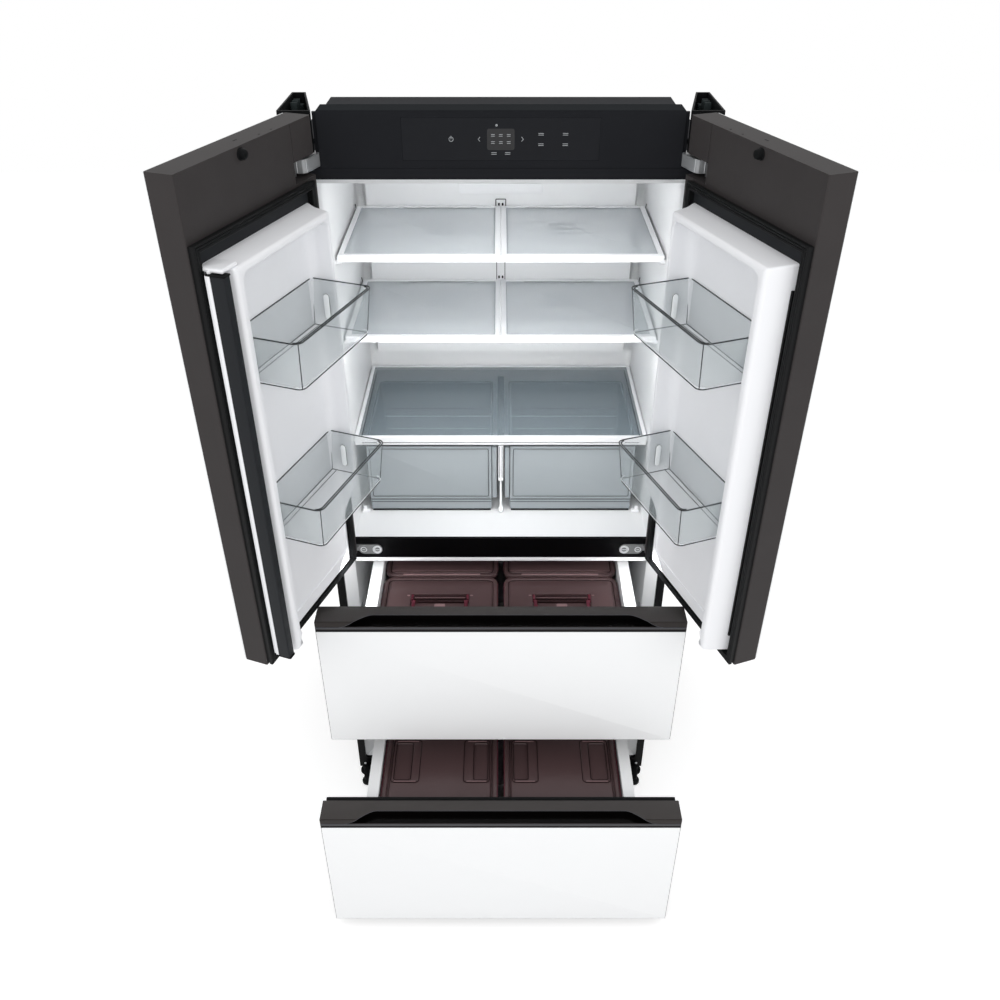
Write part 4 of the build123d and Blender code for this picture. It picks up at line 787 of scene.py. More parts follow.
class REFRIGERATOR_OT_door_baskets(StepOperator):
    """Clear door baskets with their dark edge lines, which are painted shade, and painted
    highlights.
    """

    bl_idname = "refrigerator.door_baskets"
    bl_label = "Door baskets"

    RIM = (75, 350, 8.3, 140.3)
    RADII = (15, 15, 3, 3)
    LEAN = (-8 / 94.7, -8 / 94.7, 0, -8 / 94.7)

    def execute(self, context):
        line = context.scene.refrigerator_sizes.rim_line / MM
        for level in LEVELS:
            for side in SIDES:
                place = lifted(on_side(DOOR_PLAN, side), BASKET_RIMS[level])
                base, end = on_side(DOOR_END, side)
                end = base + BASKET_RIMS[level] * np.array(UP), end
                slot = "basket_clear"
                make_pieces(f"{side}_{level}_basket", f"{side}_{level}_door_basket", (
                    ("", self.shell(place), "basket", slot, (f"{side}_basket_{level}",), 50),
                    ("_edges", self.edges(place, line), "basket_line", slot),
                    ("_glints", self.glints(place), "glint", slot),
                    ("_rib", self.rib(end), "glint", slot),
                    ("_rib_line", self.rib_line(end), "basket_line", slot),
                ))
        return {"FINISHED"}

    def shell(self, place):
        """Box that leans out to its rim: wall points carried round a rounded rectangle."""
        section = (
            (14, -94.7), (7, -94.2), (3, -92.4), (0.8, -89.5), (0, -85), (0, -6.5), (0, -1.2),
            (1, 0), (4, 0), (5, -1.2), (5, -5), (4.2, -6.4), (2.5, -7.6), (2.5, -85),
            (3.4, -88.4), (6, -91), (14, -92.2),
        )
        return skin(place, rounded_loops(self.RIM, self.RADII, section, self.LEAN, 8))

    def edges(self, place, radius):
        """Painted shade: dark lines where the clear wall is seen edge on, at the rim, floor and
        rear corners.
        """
        outer, inner, floor = (
            rounded_loops(self.RIM, self.RADII, [spot], self.LEAN, 8)[0]
            for spot in ((0.3, -0.4), (4.8, -0.4), (2.2, -92.5))
        )
        front = inner[inner[:, 1] > 60]
        front = front[np.argsort(front[:, 0])]
        ends = [np.linspace((x, 9.5, -1), (x + lean, 9.5, -92), 12)
                for x, lean in ((75.5, 7.5), (349.5, -7.5))]
        ends += [np.linspace((x, y, -1), (x + lean, y - 8, -90), 12)
                 for x, lean in ((79.4, 8), (345.6, -8)) for y in (136,)]
        rear = np.linspace((86, 22, -91.6), (338, 22, -91.6), 8)
        parts = [rod(place, outer, radius, True), rod(place, floor, radius * 0.8, True),
                 rod(place, front, radius), rod(place, rear, radius * 0.5)]
        return joined(*parts, *[rod(place, path, radius * 0.7) for path in ends])

    def glints(self, place):
        """Painted highlights beside the dark lines: inside the rim and above the floor."""
        inner = rounded_loops(self.RIM, self.RADII, [(7, -3)], self.LEAN, 8)[0]
        low = rounded_loops(self.RIM, self.RADII, [(1.2, -88)], self.LEAN, 8)[0]
        paths = []
        for loop in (inner, low):
            front = loop[loop[:, 1] > 60]
            paths.append(rod(place, front[np.argsort(front[:, 0])], 0.8, sides=6))
        return joined(*paths)

    def rib(self, place):
        """Upright pill on the end wall: a rounded block with round ends."""
        return slab(place, (36, 48, -78, -26), 79, 86, 5.9, 2.4)

    def rib_line(self, place):
        """Dark outline of the rib, painted shade."""
        return outline(place, (36, 48, -78, -26), 5.9, 83, 0.7)


class REFRIGERATOR_OT_shelves(StepOperator):
    """Half shelves: white frame with a double front line, and the frosted pane."""

    bl_idname = "refrigerator.shelves"
    bl_label = "Shelves"

    def execute(self, context):
        for level in LEVELS:
            for side in SIDES:
                place = lifted(from_right(CABINET, side), SHELF_TOPS[level])
                body, slot = f"{side}_{level}_shelf", "shelf_white"
                pane = slab(place, (13.4, 343.6, 146.2, 470.4), -5, -1, 2, 0.6)
                make_pieces(body, body, (
                    ("_frame", self.rails(place), "shelf", slot, (f"{side}_shelf_{level}",)),
                    ("_pane", pane, "pane", slot),
                    ("_lines", self.lines(place), "basket_line", slot),
                ))
        return {"FINISHED"}

    def rails(self, place):
        """Rebated rail carried round the shelf, and the taller front trim with its groove."""
        section = (
            (1, -12), (15.6, -12), (17, -11), (17, -5.4), (12.2, -5.4), (12.2, -0.9),
            (11.4, 0), (1.4, 0), (0, -1.4), (0, -11),
        )
        rail = frame_ring(place, (1, 356, SHELF_FRONT + 1, SHELF_BACK), 4, section)
        trim = (
            (133.8, -13.6), (133.8, -8.4), (135, -7.8), (135, -7), (133.8, -6.4),
            (133.8, -1.6), (134.4, -0.5), (135.6, 0.2), (139, 0.2), (139, -12), (138, -15),
            (135, -15),
        )
        return joined(rail, carried(place, trim, (1.2, 2, 180, 355, 355.8)))

    def lines(self, place):
        """Shadow line along the outer edge, and the fine one behind the pane's rear rail."""
        side = np.array(((356.6, 138, -3), (356.6, 300, -3), (356.6, 470, -3),
                         (359, 480, -1), (361, 486, 3)))
        rear = np.linspace((60, 467.5, -0.9), (240, 467.5, -0.9), 6)
        return joined(rod(place, side, 0.9), rod(place, rear, 0.6))


class REFRIGERATOR_OT_crispers(StepOperator):
    """Clear crispers with the painted dark lines of their front, under the cover."""

    bl_idname = "refrigerator.crispers"
    bl_label = "Crispers"

    def execute(self, context):
        for side in SIDES:
            place, facing = from_right(CABINET, side), from_right(FACING, side)
            slot = "crisper_clear"
            make_pieces(f"{side}_crisper_", f"{side}_crisper_box", (
                ("shell", self.shell(place), "crisper", slot, (f"{side}_crisper",), 50),
                ("front", self.front(facing), "crisper", slot),
                ("lines", self.lines(facing), "basket_line", slot),
                ("rim_lines", self.rim_lines(place), "basket_line", slot),
                ("glints", self.glints(facing), "glint", slot),
                ("seal", self.seal(facing), "black", slot),
            ))
        return {"FINISHED"}

    def shell(self, place):
        """Deep box with a rounded floor and a turned-out rim."""
        section = (
            (16, 857.4), (8, 857.8), (3.4, 859.6), (0.8, 863), (0, 868), (0, 1051.6),
            (1, 1053), (4.4, 1053), (5.4, 1051.8), (5.4, 1047), (3, 1044.6), (3, 868),
            (4, 864), (7, 861.4), (16, 860.4),
        )
        return skin(place, rounded_loops((22, 334, 142, 476), (12, 12, 4, 4), section, steps=6))

    def front(self, place):
        """Front plate with a softly raised border, and the lower grip strip behind it."""
        plate = slab(place, (22, 334, 894, 1053), 136, 141.8, 4, 1.2)
        border = frame_ring(place, (24, 332, 896, 1051), 4,
                            ((0, 136.5), (0, 135.4), (1, 134.8), (5, 134.8), (6, 136.5)))
        strip = slab(place, (24, 332, 862, 892), 138, 141.6, 2, 0.8)
        flange = slab(place, (10, 21.6, 897, 1048), 137, 141.6, 1.5, 0.8)
        return joined(plate, border, strip, flange)

    def lines(self, place):
        """Painted shade: fine dark lines that the clear front shows, at its inner border and its
        grip strip.
        """
        return joined(
            outline(place, (31, 325, 903, 1044), 4, 134.9, 0.55, 8),
            *[wire(place, start, end, radius, sides=8) for start, end, radius in (
                ((24, 893, 136), (332, 893, 136), 0.8),
                ((22.6, 894, 136), (22.6, 1052, 136), 0.7),
                ((333.4, 894, 136), (333.4, 1052, 136), 0.7),
                ((24, 1052.4, 135.6), (332, 1052.4, 135.6), 0.8),
                ((9.4, 898, 137), (5.6, 1047, 137), 0.8),
                ((24, 884, 137.6), (332, 884, 137.6), 0.6),
            )],
        )

    def rim_lines(self, place):
        """Painted dark lines for edges seen through the cover: the rim, the rear step and the
        upright corners.
        """
        rim = outline(place, (22.6, 333.4, 142.6, 475.4), (11, 11, 4, 4), 1053, 0.9)
        step = wire(place, (28, 473, 969), (328, 473, 969), 0.8)
        uprights = [wire(place, (x, 472, 1050), (x, 472, 872), 0.6) for x in (27, 329)]
        return joined(rim, step, *uprights)

    def glints(self, place):
        """Painted highlights on the step of the rear wall and along the floor."""
        return joined(
            wire(place, (30, 946, 471.5), (326, 946, 471.5), 1.2),
            wire(place, (34, 906, 471.5), (322, 906, 471.5), 0.6),
        )

    def seal(self, place):
        """Dark foot line under the front, painted shade where the front meets the floor."""
        return slab(place, (26, 330, 857.6, 861.2), 137, 141, 1, 0.6)


class REFRIGERATOR_OT_drawer_fronts(StepOperator):
    """Drawer fronts: the scooped trim, the seal and the white panel."""

    bl_idname = "refrigerator.drawer_fronts"
    bl_label = "Drawer fronts"

    GRIP = (364, 287)  # distance from the middle where the scoop starts and is full
    RUN = 23.6  # how far the scoop's edge goes back on the deck

    def execute(self, context):
        self.dip = context.scene.refrigerator_sizes.scoop_depth / MM
        for level in LEVELS:
            self.place = pulled(CABINET, DRAWER_OUT[level])
            self.facing = pulled(FACING, DRAWER_OUT[level])
            self.top = PANEL_TOP[level] + TRIM_HEIGHT
            slot, body = "drawer_trim", f"{level}_drawer"
            make_pieces(body, body, (
                ("_trim", self.body_shell(level), "trim", slot, (f"{body}_front",), 36),
                ("_deck", self.deck(), "deck", slot, (), 40),
                ("_recess", self.recess(), "scoop", slot, (), 60),
                ("_rim", self.rim(), "lip", slot),
                # The lip band is painted lighter, a highlight where the lip catches light.
                ("_lip", self.band(self.top - self.dip - 5.6, 5.2, -70.4), "lip", slot),
                # Black band in the gap between the lip and the panel: painted shade.
                ("_gap", self.band(PANEL_TOP[level] + 0.8, 5.2, -70.2), "black", slot),
                ("_seal", self.seal(level), "rubber", "gasket_black", (), 24),
                ("_face", self.face(level), "panel", "panel_white", (f"{body}_panel",)),
                ("_face_edge", self.face_edge(level), "panel_edge", "panel_white"),
            ))
        return {"FINISHED"}

    def stations(self):
        """Where the sections stand: close together along the ends of the scoop."""
        half = np.concatenate((
            (HALF_WIDTH, 416.6), np.linspace(410, 370, 4), np.linspace(364, 285, 60),
            (200, 100, 0),
        ))
        return np.concatenate((-half, half[-2::-1]))

    def edge(self, x, top):
        """Edge of the grip: a smoothstep leads it up the front face, then back on the deck."""
        way = (self.dip + self.RUN) * float(smooth(*self.GRIP, abs(x)))
        back = -68.5 + 24 * float(smooth(0, 8, way))
        depth = -68.6 + max(0.0, way - self.dip)
        return way, depth, top - self.dip + min(way, self.dip), back

    def body_shell(self, level):
        """Section of the drawer front carried across it.

        Below the grip stands the lip; the grip opens between it and the edge, which goes
        up the front face and back on the deck. The end sections are clipped."""
        top = self.top
        low, rear_low = PANEL_BOTTOM[level], FRONT_BOTTOM[level]
        lip = top - self.dip
        loops = []
        for x in self.stations():
            way, depth, height, back = self.edge(x, top)
            bent = float(smooth(self.dip - 3, self.dip + 3, way))
            closed = (
                (back, height), (-69.2, height), (-70, min(height + 0.8, top - 1.6)),
                (-70, top - 1.6), (-69.5, top - 0.4), (-68.4, top),
            )
            opened = (
                (back, top - 1.4), (depth, top - 1.4), (depth, top - 1.0), (depth, top - 0.7),
                (depth + 0.3, top - 0.2), (depth + 1, top),
            )
            line = [(-70, PANEL_TOP[level] + 0.5), (-70, lip - 1.6), (-69.8, lip - 0.8),
                    (-69.3, lip - 0.2), (-69, lip), (back, lip - 0.6 * min(way, 1))]
            line += (closed + bent * (np.array(opened) - closed)).tolist()
            line += [(-17, top), (-15.6, top - 0.5), (-15, top - 1.8), (-15, rear_low + 1),
                     (-16, rear_low), (-48, rear_low), (-66, low + 0.6),
                     (-66, PANEL_TOP[level] + 0.5)]
            line = np.array(line)
            if abs(x) > 417:
                line[:, 0] = np.clip(line[:, 0], -69, -16)
                line[:, 1] = np.clip(line[:, 1], rear_low + 1, top - 1)
            loops.append(np.insert(line, 0, x, axis=1))
        return skin(self.place, loops)

    def deck(self):
        """Thin strip on the deck behind the grip, drawn in along the S of its ends, in a lighter
        grey that paints light on the top face.
        """
        top = self.top
        loops = []
        for x in np.linspace(-415.5, 415.5, 151):
            near = self.edge(x, top)[1] + 1.1
            loops.append([(x, near, top - 0.6), (x, near, top + 0.25),
                          (x, near + 0.7, top + 0.6), (x, -17.6, top + 0.6),
                          (x, -16.8, top + 0.2), (x, -16.8, top - 0.6)])
        return skin(self.place, loops)

    def recess(self):
        """Glossy lining of the grip in near black, painted shade: a floor behind the lip and a
        wall up to the edge.
        """
        high, low = self.top, self.top - self.dip
        loops = []
        for x in np.linspace(-357, 357, 141):
            back = self.edge(x, high)[3]
            ceiling = min(self.edge(x, high)[2] - 0.3, high - 1.6)
            front = min(-67.8, back - 1)
            loops.append([(x, front, low + 0.3), (x, back - 0.5, low + 0.3),
                          (x, back - 0.5, ceiling), (x, back + 0.4, ceiling),
                          (x, back + 0.4, low - 1.2), (x, front, low - 1.2)])
        return skin(self.place, loops)

    def rim(self):
        """Painted highlight along the edge of the grip, a wire up the front face and back on the
        deck.
        """
        half = np.concatenate((np.linspace(363, 286, 60), np.linspace(270, 0, 8)))
        path = []
        for x in np.concatenate((-half, half[-2::-1])):
            way, depth, height, _ = self.edge(x, self.top)
            path.append((x, depth - 1.3 + 1.3 * float(smooth(-3, 3, way - self.dip)),
                         height + 0.1))
        return rod(self.place, path, 0.7, sides=6)

    def band(self, low, height, front):
        """Band across the front between the grip and the panel, with rounded edges."""
        return slab(self.facing, (-417, 417, low, low + height), front, -69.2, 0.8, 0.4)

    def seal(self, level):
        """Grooved seal carried round the back of the front."""
        low, high = SEAL_Z[level]
        section = ((2, -15.4), (13, -15.4), (13, -8), (11.6, -7.2), (13, -6.2), (13, -1.4),
                   (12, -0.3), (8.6, -0.3), (7.8, -1.6), (7, -0.3), (1.2, -0.3), (0, -1.4),
                   (0, -6.2), (1.4, -7.2), (1.4, -8.4))
        return frame_ring(self.facing, (-412, 412, low, high), 3, section, steps=3)

    def face(self, level):
        """White panel with a fine rounded edge."""
        rect = (-416.4, 416.4, PANEL_BOTTOM[level] + 1.1, PANEL_TOP[level] - 0.6)
        return slab(self.facing, rect, -70, -66.2, 1.5, 0.6)

    def face_edge(self, level):
        """Grey edge band that shows as a line round the panel."""
        rect = (-HALF_WIDTH, HALF_WIDTH, PANEL_BOTTOM[level], PANEL_TOP[level] + 0.3)
        return slab(self.facing, rect, -69.4, -66, 2, 0.4)


class REFRIGERATOR_OT_storage_boxes(StepOperator):
    """Lids of the storage boxes, with their grips and carrying handles."""

    bl_idname = "refrigerator.storage_boxes"
    bl_label = "Storage boxes"

    UPPER_ROWS = {"front": (1, 195), "rear": (201, 404)}
    # Each row's handle axis behind its near edge, and the reach of the well behind the axis.
    AXES = {"front": (108, 22), "rear": (130, 6.5)}
    FRAMES = ((201, 270, 69, 201), (28, 92, 69, 201))
    POCKETS = ((222, 264, 78, 194), (32, 68, 78, 194))

    def execute(self, context):
        for side in SIDES:
            self.upper_lids(side)
            self.lower_lid(side)
        return {"FINISHED"}

    def upper_lids(self, side):
        """Both lids of one side of the upper drawer and their handles."""
        for row, (near, far) in self.UPPER_ROWS.items():
            place = self.lid_place(side, "upper")
            front, slot = row == "front", "lid_burgundy"
            body = f"{side}_upper_box_lid" if front else "upper_drawer"
            holder = f"{side}_upper_box_handle" if front else body
            lid_node = f"{side}_upper_lid" if front else "rear_lids"
            bar_node = f"{side}_upper_handle" if front else "rear_lids"
            behind, reach = self.AXES[row]
            axis = near + behind
            prefix = f"{side}_{row}_"
            make_pieces(prefix, body, (
                ("lid", self.lid(place, near, far, axis, reach), "lid", slot, (lid_node,), 40),
                ("lid_groove", self.lid_lines(place, near, far), "lid_line", slot),
                ("lid_rims", self.rims(place, near, far), "wine", slot),
            ))
            make_pieces(prefix, holder, (
                ("handle", self.handle(place, axis), "wine", "handle_burgundy", (bar_node,)),
                ("handle_bar", self.bar(place, axis), "handle", "handle_burgundy"),
            ))
            if front:
                make_piece(prefix + "lid_cheeks", self.cheeks(place, axis), "wine", body, slot)
                make_piece(f"{side}_rear_lid_folds", self.rear_folds(place), "fold",
                           "upper_drawer", slot)
                make_pieces(prefix, body, (
                    ("lid_glints", self.glints(place, axis), "fold", slot),
                    ("lid_bridge", self.bridge(place, axis), "handle", slot),
                ))

    def lid_place(self, side, level):
        """The frame of a drawer's lids, with their top at height 0."""
        return lifted(pulled(from_right(CABINET, side), DRAWER_OUT[level]), LID_TOPS[level])

    def lid(self, place, near, far, axis, reach):
        """Lid: rounded rim, a groove and an island with a well, loop inside loop."""
        outer = rounded_loops((8, 290, near, far), 22, (
            (2, -12), (0.4, -11.4), (0, -10), (0, -3), (0.8, -1), (2.6, 0), (8, 0),
            (9.6, -0.8), (10.6, -2.6), (12.6, -3.2), (14, -2.6), (15, -1.4), (16.4, -1),
        ), steps=8)
        well = rounded_loops((77.5, 220.5, axis - 65, axis + reach), 3.5, (
            (-1.5, -1), (-0.4, -1.4), (0, -2.4), (0, -9.6), (0.6, -10.3),
        ), steps=8)
        return skin(place, np.concatenate((outer, well)))

    def handle(self, place, axis):
        """Two posts of the folding ring with their pins."""
        parts = []
        for x, inward in ((80.5, 1), (217.5, -1)):
            rect = (*sorted((x, x + 9 * inward)), axis - 62, axis + 2.6)
            parts.append(slab(place, rect, -10, -3, 2.4, 1.2))
            parts.append(wire(place, (x, axis, -6.5), (x - 4.6 * inward, axis, -6.5), 2.5, 4, 14))
        return joined(*parts)

    def bar(self, place, axis):
        """Grip bar between the posts and the thin bar on the pivot side."""
        return slabs(place, ((88, 210, axis - 62, axis - 53), -10, -3, 2, 1.6),
                     ((88, 210, axis - 3.4, axis + 2.6), -9.6, -3.6, 2, 1.4))

    def rear_folds(self, place):
        """Painted highlights: along the fold across the near part of the rear lid, and on the
        strip before it.
        """
        return joined(
            wire(place, (24, 222, -1.6), (276, 222, -1.6), 0.8),
            slab(place, (52, 246, 203, 208), -2, 1.2, 2, 1),
        )

    def rims(self, place, near, far):
        """Lit rims along both sides of a lid."""
        return joined(*[wire(place, (x, near + 20, -3), (x, far - 20, -3), 1.2)
                        for x in (8.4, 289.6)])

    def cheeks(self, place, axis):
        """Walls beside the pivots, at both ends of the well."""
        return slabs(place, *[((x, x + 6.4, axis + 3.6, axis + 21), -10, -1.2, 2, 1)
                              for x in (78, 213.6)])

    def bridge(self, place, axis):
        """Cross bar of the lid behind the handle's pivots."""
        return slab(place, (85, 213, axis + 9, axis + 20), -9.8, -2.4, 2, 1.4)

    def glints(self, place, axis):
        """Painted highlights on the rim of the cross bar, the tab in the well's middle and the
        pins' ends.
        """
        return joined(
            wire(place, (87, axis + 9, -2.8), (211, axis + 9, -2.8), 0.8),
            slab(place, (136, 162, axis - 18, axis - 4.6), -10.6, -9.4, 3, 0.5),
            *[slab(place, (x, x + 7, axis + 14, axis + 18), -1.4, -0.4, 1.6, 0.4)
              for x in (68.5, 222.5)],
        )

    def lid_lines(self, place, near, far):
        """Dark line in the groove inside the rim of an upper lid: painted shade."""
        return outline(place, (19, 279, near + 11, far - 11), 14, -2.6, 1.0, steps=8)

    def lower_lid(self, side):
        """Lid of a lower box: rim loops round an island worked out as a height field."""
        place, slot = self.lid_place(side, "lower"), "lid_burgundy"
        rim = rounded_loops((9, 288, 1, 281), 22, (
            (2, -12), (0.4, -11.4), (0, -10), (0, -3), (0.8, -1), (2.6, 0), (8, 0),
            (9.6, -0.8), (11, -3.4), (12, -6.4), (13.5, -7),
        ), steps=8)
        shape = joined(skin(place, rim), self.island(place))
        # Grooves: dark lines of painted shade round the frames and the pockets.
        grooves = [outline(place, rect, *row) for rects, row in (
            (self.FRAMES, (9, -0.9, 0.8)), (self.POCKETS, (6, -3.2, 0.7))) for rect in rects]
        # Folds: painted highlights along the near and far edges of each frame and along the front
        # rim.
        folds = [wire(place, (x0 + 8, y, -1.2), (x1 - 8, y, -1.2), 1.1, 6)
                 for x0, x1, near, far in self.FRAMES for y in (near + 3.4, far - 3.4)]
        folds.append(wire(place, (38, 8.4, 0), (258, 8.4, 0), 0.9))
        # Dark floors in the pockets: painted shade.
        pocket_shade_floors = slabs(place, *[((x0 + 4, x1 - 4, near + 4, far - 4), -9.4, -8.3, 5, 0.4)
                                for x0, x1, near, far in self.POCKETS])
        make_pieces(f"{side}_lower_lid_", f"{side}_lower_box_lid", (
            ("moulding", shape, "lid", slot, (f"{side}_lower_lid",), 40),
            ("grooves", joined(*grooves), "lid_line", slot),
            ("rims", self.rims(place, 1, 281), "wine", slot),
            ("pockets", pocket_shade_floors, "pocket", slot),
            ("folds", joined(*folds), "fold", slot),
        ))

    def island(self, place):
        """Height field on a grid.

        Height is a plateau less two shallow frames with a deep pocket in each, every one
        a smoothstep of the distance to its outline, and it falls to the rim's groove."""
        x, y = np.meshgrid(np.linspace(23, 274, 127), np.linspace(15, 267, 127), indexing="ij")

        def distance(rect, radius):
            """Signed distance to a rounded rectangle, negative inside."""
            cx, cy = (rect[0] + rect[1]) / 2, (rect[2] + rect[3]) / 2
            qx = np.abs(x - cx) - (rect[1] - rect[0]) / 2 + radius
            qy = np.abs(y - cy) - (rect[3] - rect[2]) / 2 + radius
            beyond = np.hypot(np.maximum(qx, 0), np.maximum(qy, 0))
            return beyond + np.minimum(np.maximum(qx, qy), 0) - radius

        z = -1.2 - 5.6 * smooth(-4, 0.5, distance((23, 274, 15, 267), 14))
        for rect in self.FRAMES:
            z = z - 2.0 * smooth(1.0, -2.0, distance(rect, 9))
        for rect in self.POCKETS:
            z = z - 5.6 * smooth(1.0, -2.4, distance(rect, 6))
        top = np.stack((x, y, z), -1)
        under = np.stack((x, y, np.full_like(z, -9.5)), -1)
        count = x.shape
        index = np.arange(x.size).reshape(count)
        quads = np.stack((index[:-1, :-1], index[1:, :-1], index[1:, 1:], index[:-1, 1:]), -1)
        border = np.concatenate((index[:, 0], index[-1, 1:], index[-2::-1, -1],
                                 index[0, -2:0:-1]))
        low = border + x.size
        wall = np.stack((border, low, np.roll(low, -1), np.roll(border, -1)), -1)
        floor = (quads.reshape(-1, 4) + x.size)[:, ::-1]
        points = np.concatenate((top.reshape(-1, 3), under.reshape(-1, 3)))
        faces = quads.reshape(-1, 4).tolist() + wall.tolist() + floor.tolist()
        return outward(placed(place, points), faces)


class REFRIGERATOR_OT_cabinet(StepOperator):
    """Small parts of the cabinet: covers, hinge straps, screws, lamp, painted shade lines of the
    standard, and feet.
    """

    bl_idname = "refrigerator.cabinet"
    bl_label = "Cabinet"

    def execute(self, context):
        for side in SIDES:
            place, facing = from_right(CABINET, side), from_right(FACING, side)
            make_pieces(f"{side}_", "cabinet", (
                ("cover_block", self.cover_block(place), "channel", "black_plastic"),
                ("hinge_strap", self.strap(place), "strap", "hinge_steel",
                 ("upper_hinge_arms",), 20),
                ("strap_edges", self.strap_edges(place), "bright", "hinge_steel"),
                ("plate_screws", self.plate_screws(facing), "bright", "hinge_steel"),
                ("front_foot", self.foot(place), "black", "black_plastic"),
                ("foot_screw", self.foot_screw(facing), "bright", "pin_steel"),
                ("crisper_clip", self.clip(facing), "shelf", "liner_white"),
            ))
        # Thin sheet over the header's top in a lighter grey than its front, painted light for the
        # top face.
        header_top = slab(CABINET, (-345.4, 345.4, 9, 58), 1862.2, 1863.2, 1, 0.5)
        make_pieces("", "cabinet", (
            ("post_stem", self.stem(), "glint", "cover_frame_white"),
            ("cover_beam", self.beam(), "channel", "cover_frame_white"),
            ("cover_lines", self.cover_lines(), "basket_line", "cover_frame_white"),
            ("drawer_lip", self.drawer_lip(), "white", "liner_white"),
            ("lamp_cover", self.lamp(), "shelf", "liner_white"),
            ("standard_lines", self.standard_lines(), "black", "shelf_white"),
            ("header_front", self.header_front(), "header", "header_black"),
            ("header_top", header_top, "header_top", "header_black"),
            ("header_line", self.header_line(), "lip", "header_black"),
        ))
        return {"FINISHED"}

    def cover_block(self, place):
        """Block on the floor of the corner cover and the ridges of its rear wall."""
        return slabs(place, ((366, 406, 18, 62), 1793, 1822, 4, 2),
                     ((392, 411, 132, 150), 1793, 1846, 3, 1.5),
                     *[((397, 410, y, y + 3), 1800, 1858, 1, 0.8) for y in (96, 112, 128)])

    def strap(self, place):
        """Bent sheet: a plan outline with two facets carried up, and its foot."""
        outer = ((345.6, 95), (345.6, 2), (346.4, -2), (361.4, -44.6), (364.6, -49.4),
                 (370, -52.4), (396, -53.2), (400, -50), (401, -45), (399, -37), (392, -33.4),
                 (384, -35.6), (380, -41), (378.4, -47.4), (371.4, -46.9), (368, -45.4),
                 (366, -42.6), (351.2, 0), (350.6, 3), (350.6, 95))
        middle = np.mean(outer, 0)
        loops = []
        for z, inset in ((1763.6, 0.4), (1764.2, 0), (1776, 0), (1787.8, 0), (1788.4, 0.4)):
            points = np.array(outer) + inset * np.sign(middle - np.array(outer)) * 0.5
            loops.append(np.insert(points, 2, z, axis=1))
        foot = slab(place, (350, 408, 20, 95), 1763.6, 1768.4, 4, 0.8)
        return joined(skin(place, loops), foot)

    def strap_edges(self, place):
        """Painted highlights on the strap's edges: wires along its top and foot and down its
        bend.
        """
        line = ((379, -50.6), (370, -50.8), (364.6, -48.2), (361.4, -43.6), (347, -2), (346, 4))
        wires = [rod(place, [(x, y, z) for x, y in line], 0.7, sides=6)
                 for z in (1764.4, 1788)]
        for x, y in ((363.2, -47.6), (380.4, -52.9)):
            wires.append(wire(place, (x, y, 1765), (x, y, 1787.6), 0.8, 6))
        return joined(*wires)

    def plate_screws(self, facing):
        """Rings and slotted heads of the two screws, turned about the plate's normal."""
        parts = []
        for x, radius in ((339, 7.6), (305, 11.4)):
            ring = ((radius, -3), (radius + 0.6, -4.2), (radius - 0.4, -4.8),
                    (radius - 1.6, -4.8), (radius - 2.4, -3.6))
            parts.append(turned(facing, (x, 838), ring, 28))
            parts.append(slab(facing, (x - radius * 0.5, x + radius * 0.5, 837, 839),
                              -5.2, -3.4, 0.8, 0.3))
        return joined(*parts)

    def foot(self, place):
        """Turned foot in front of the frame and the block that carries it."""
        form = ((15, 0.2), (17, 1.6), (17, 7), (14.6, 11), (10, 13), (10, 23), (8.6, 24))
        foot = turned(place, (391, -36), form)
        return joined(foot, slab(place, (380, 402, -34, 3), 14, 26, 3, 1.5))

    def foot_screw(self, facing):
        """Small round head at the foot of the frame."""
        return slab(facing, (397, 404, 34, 41), -2.2, 0.5, 3.4, 0.8)

    def clip(self, facing):
        """Small clip on the floor at the crisper's outer corner."""
        return slabs(facing, ((336, 356, 857.4, 866), 126, 136, 2.5, 1.2),
                     ((344, 352, 864, 876), 128, 134, 2, 1))

    def stem(self):
        """Turned foot under the centre post: a stem with a round end."""
        form = ((1.6, 958), (2.4, 940), (2.6, 880), (4.6, 875), (6.2, 869), (6.2, 864),
                (4.4, 858.6), (2, 857.2))
        return turned(CABINET, (0, 130), form, 20)

    def beam(self):
        """Dark bar between the crispers, under the cover's glass: painted shade for the gap
        between them.
        """
        return slab(CABINET, (-8.6, 8.6, 146, 478), 1060, 1068, 1, 0.6)

    def cover_lines(self):
        """Painted shade: dark lines along the cover's front rail and beside its centre post."""
        parts = [wire(FACING, (-340, z, 131), (340, z, 131), 0.7) for z in (1064.6, 1057)]
        parts += [wire(CABINET, (x, 140, 1079.3), (x, 478, 1079.3), 0.7) for x in (-341, 341)]
        parts += [wire(FACING, (x, 1054, 130.4), (x, 962, 130.4), 0.7) for x in (-3.4, 3.4)]
        return joined(*parts)

    def drawer_lip(self):
        """Pale front edge of the drawer liner, right under the cross rail."""
        return slab(FACING, (-362, 362, 799, 810.4), 0.4, 4, 1, 0.5)

    def lamp(self):
        """Shallow rounded cover of the lamp on the duct's front."""
        return slab(FACING, (-103, 103, 1566, 1590), 484.6, 489, 5, 1.6)

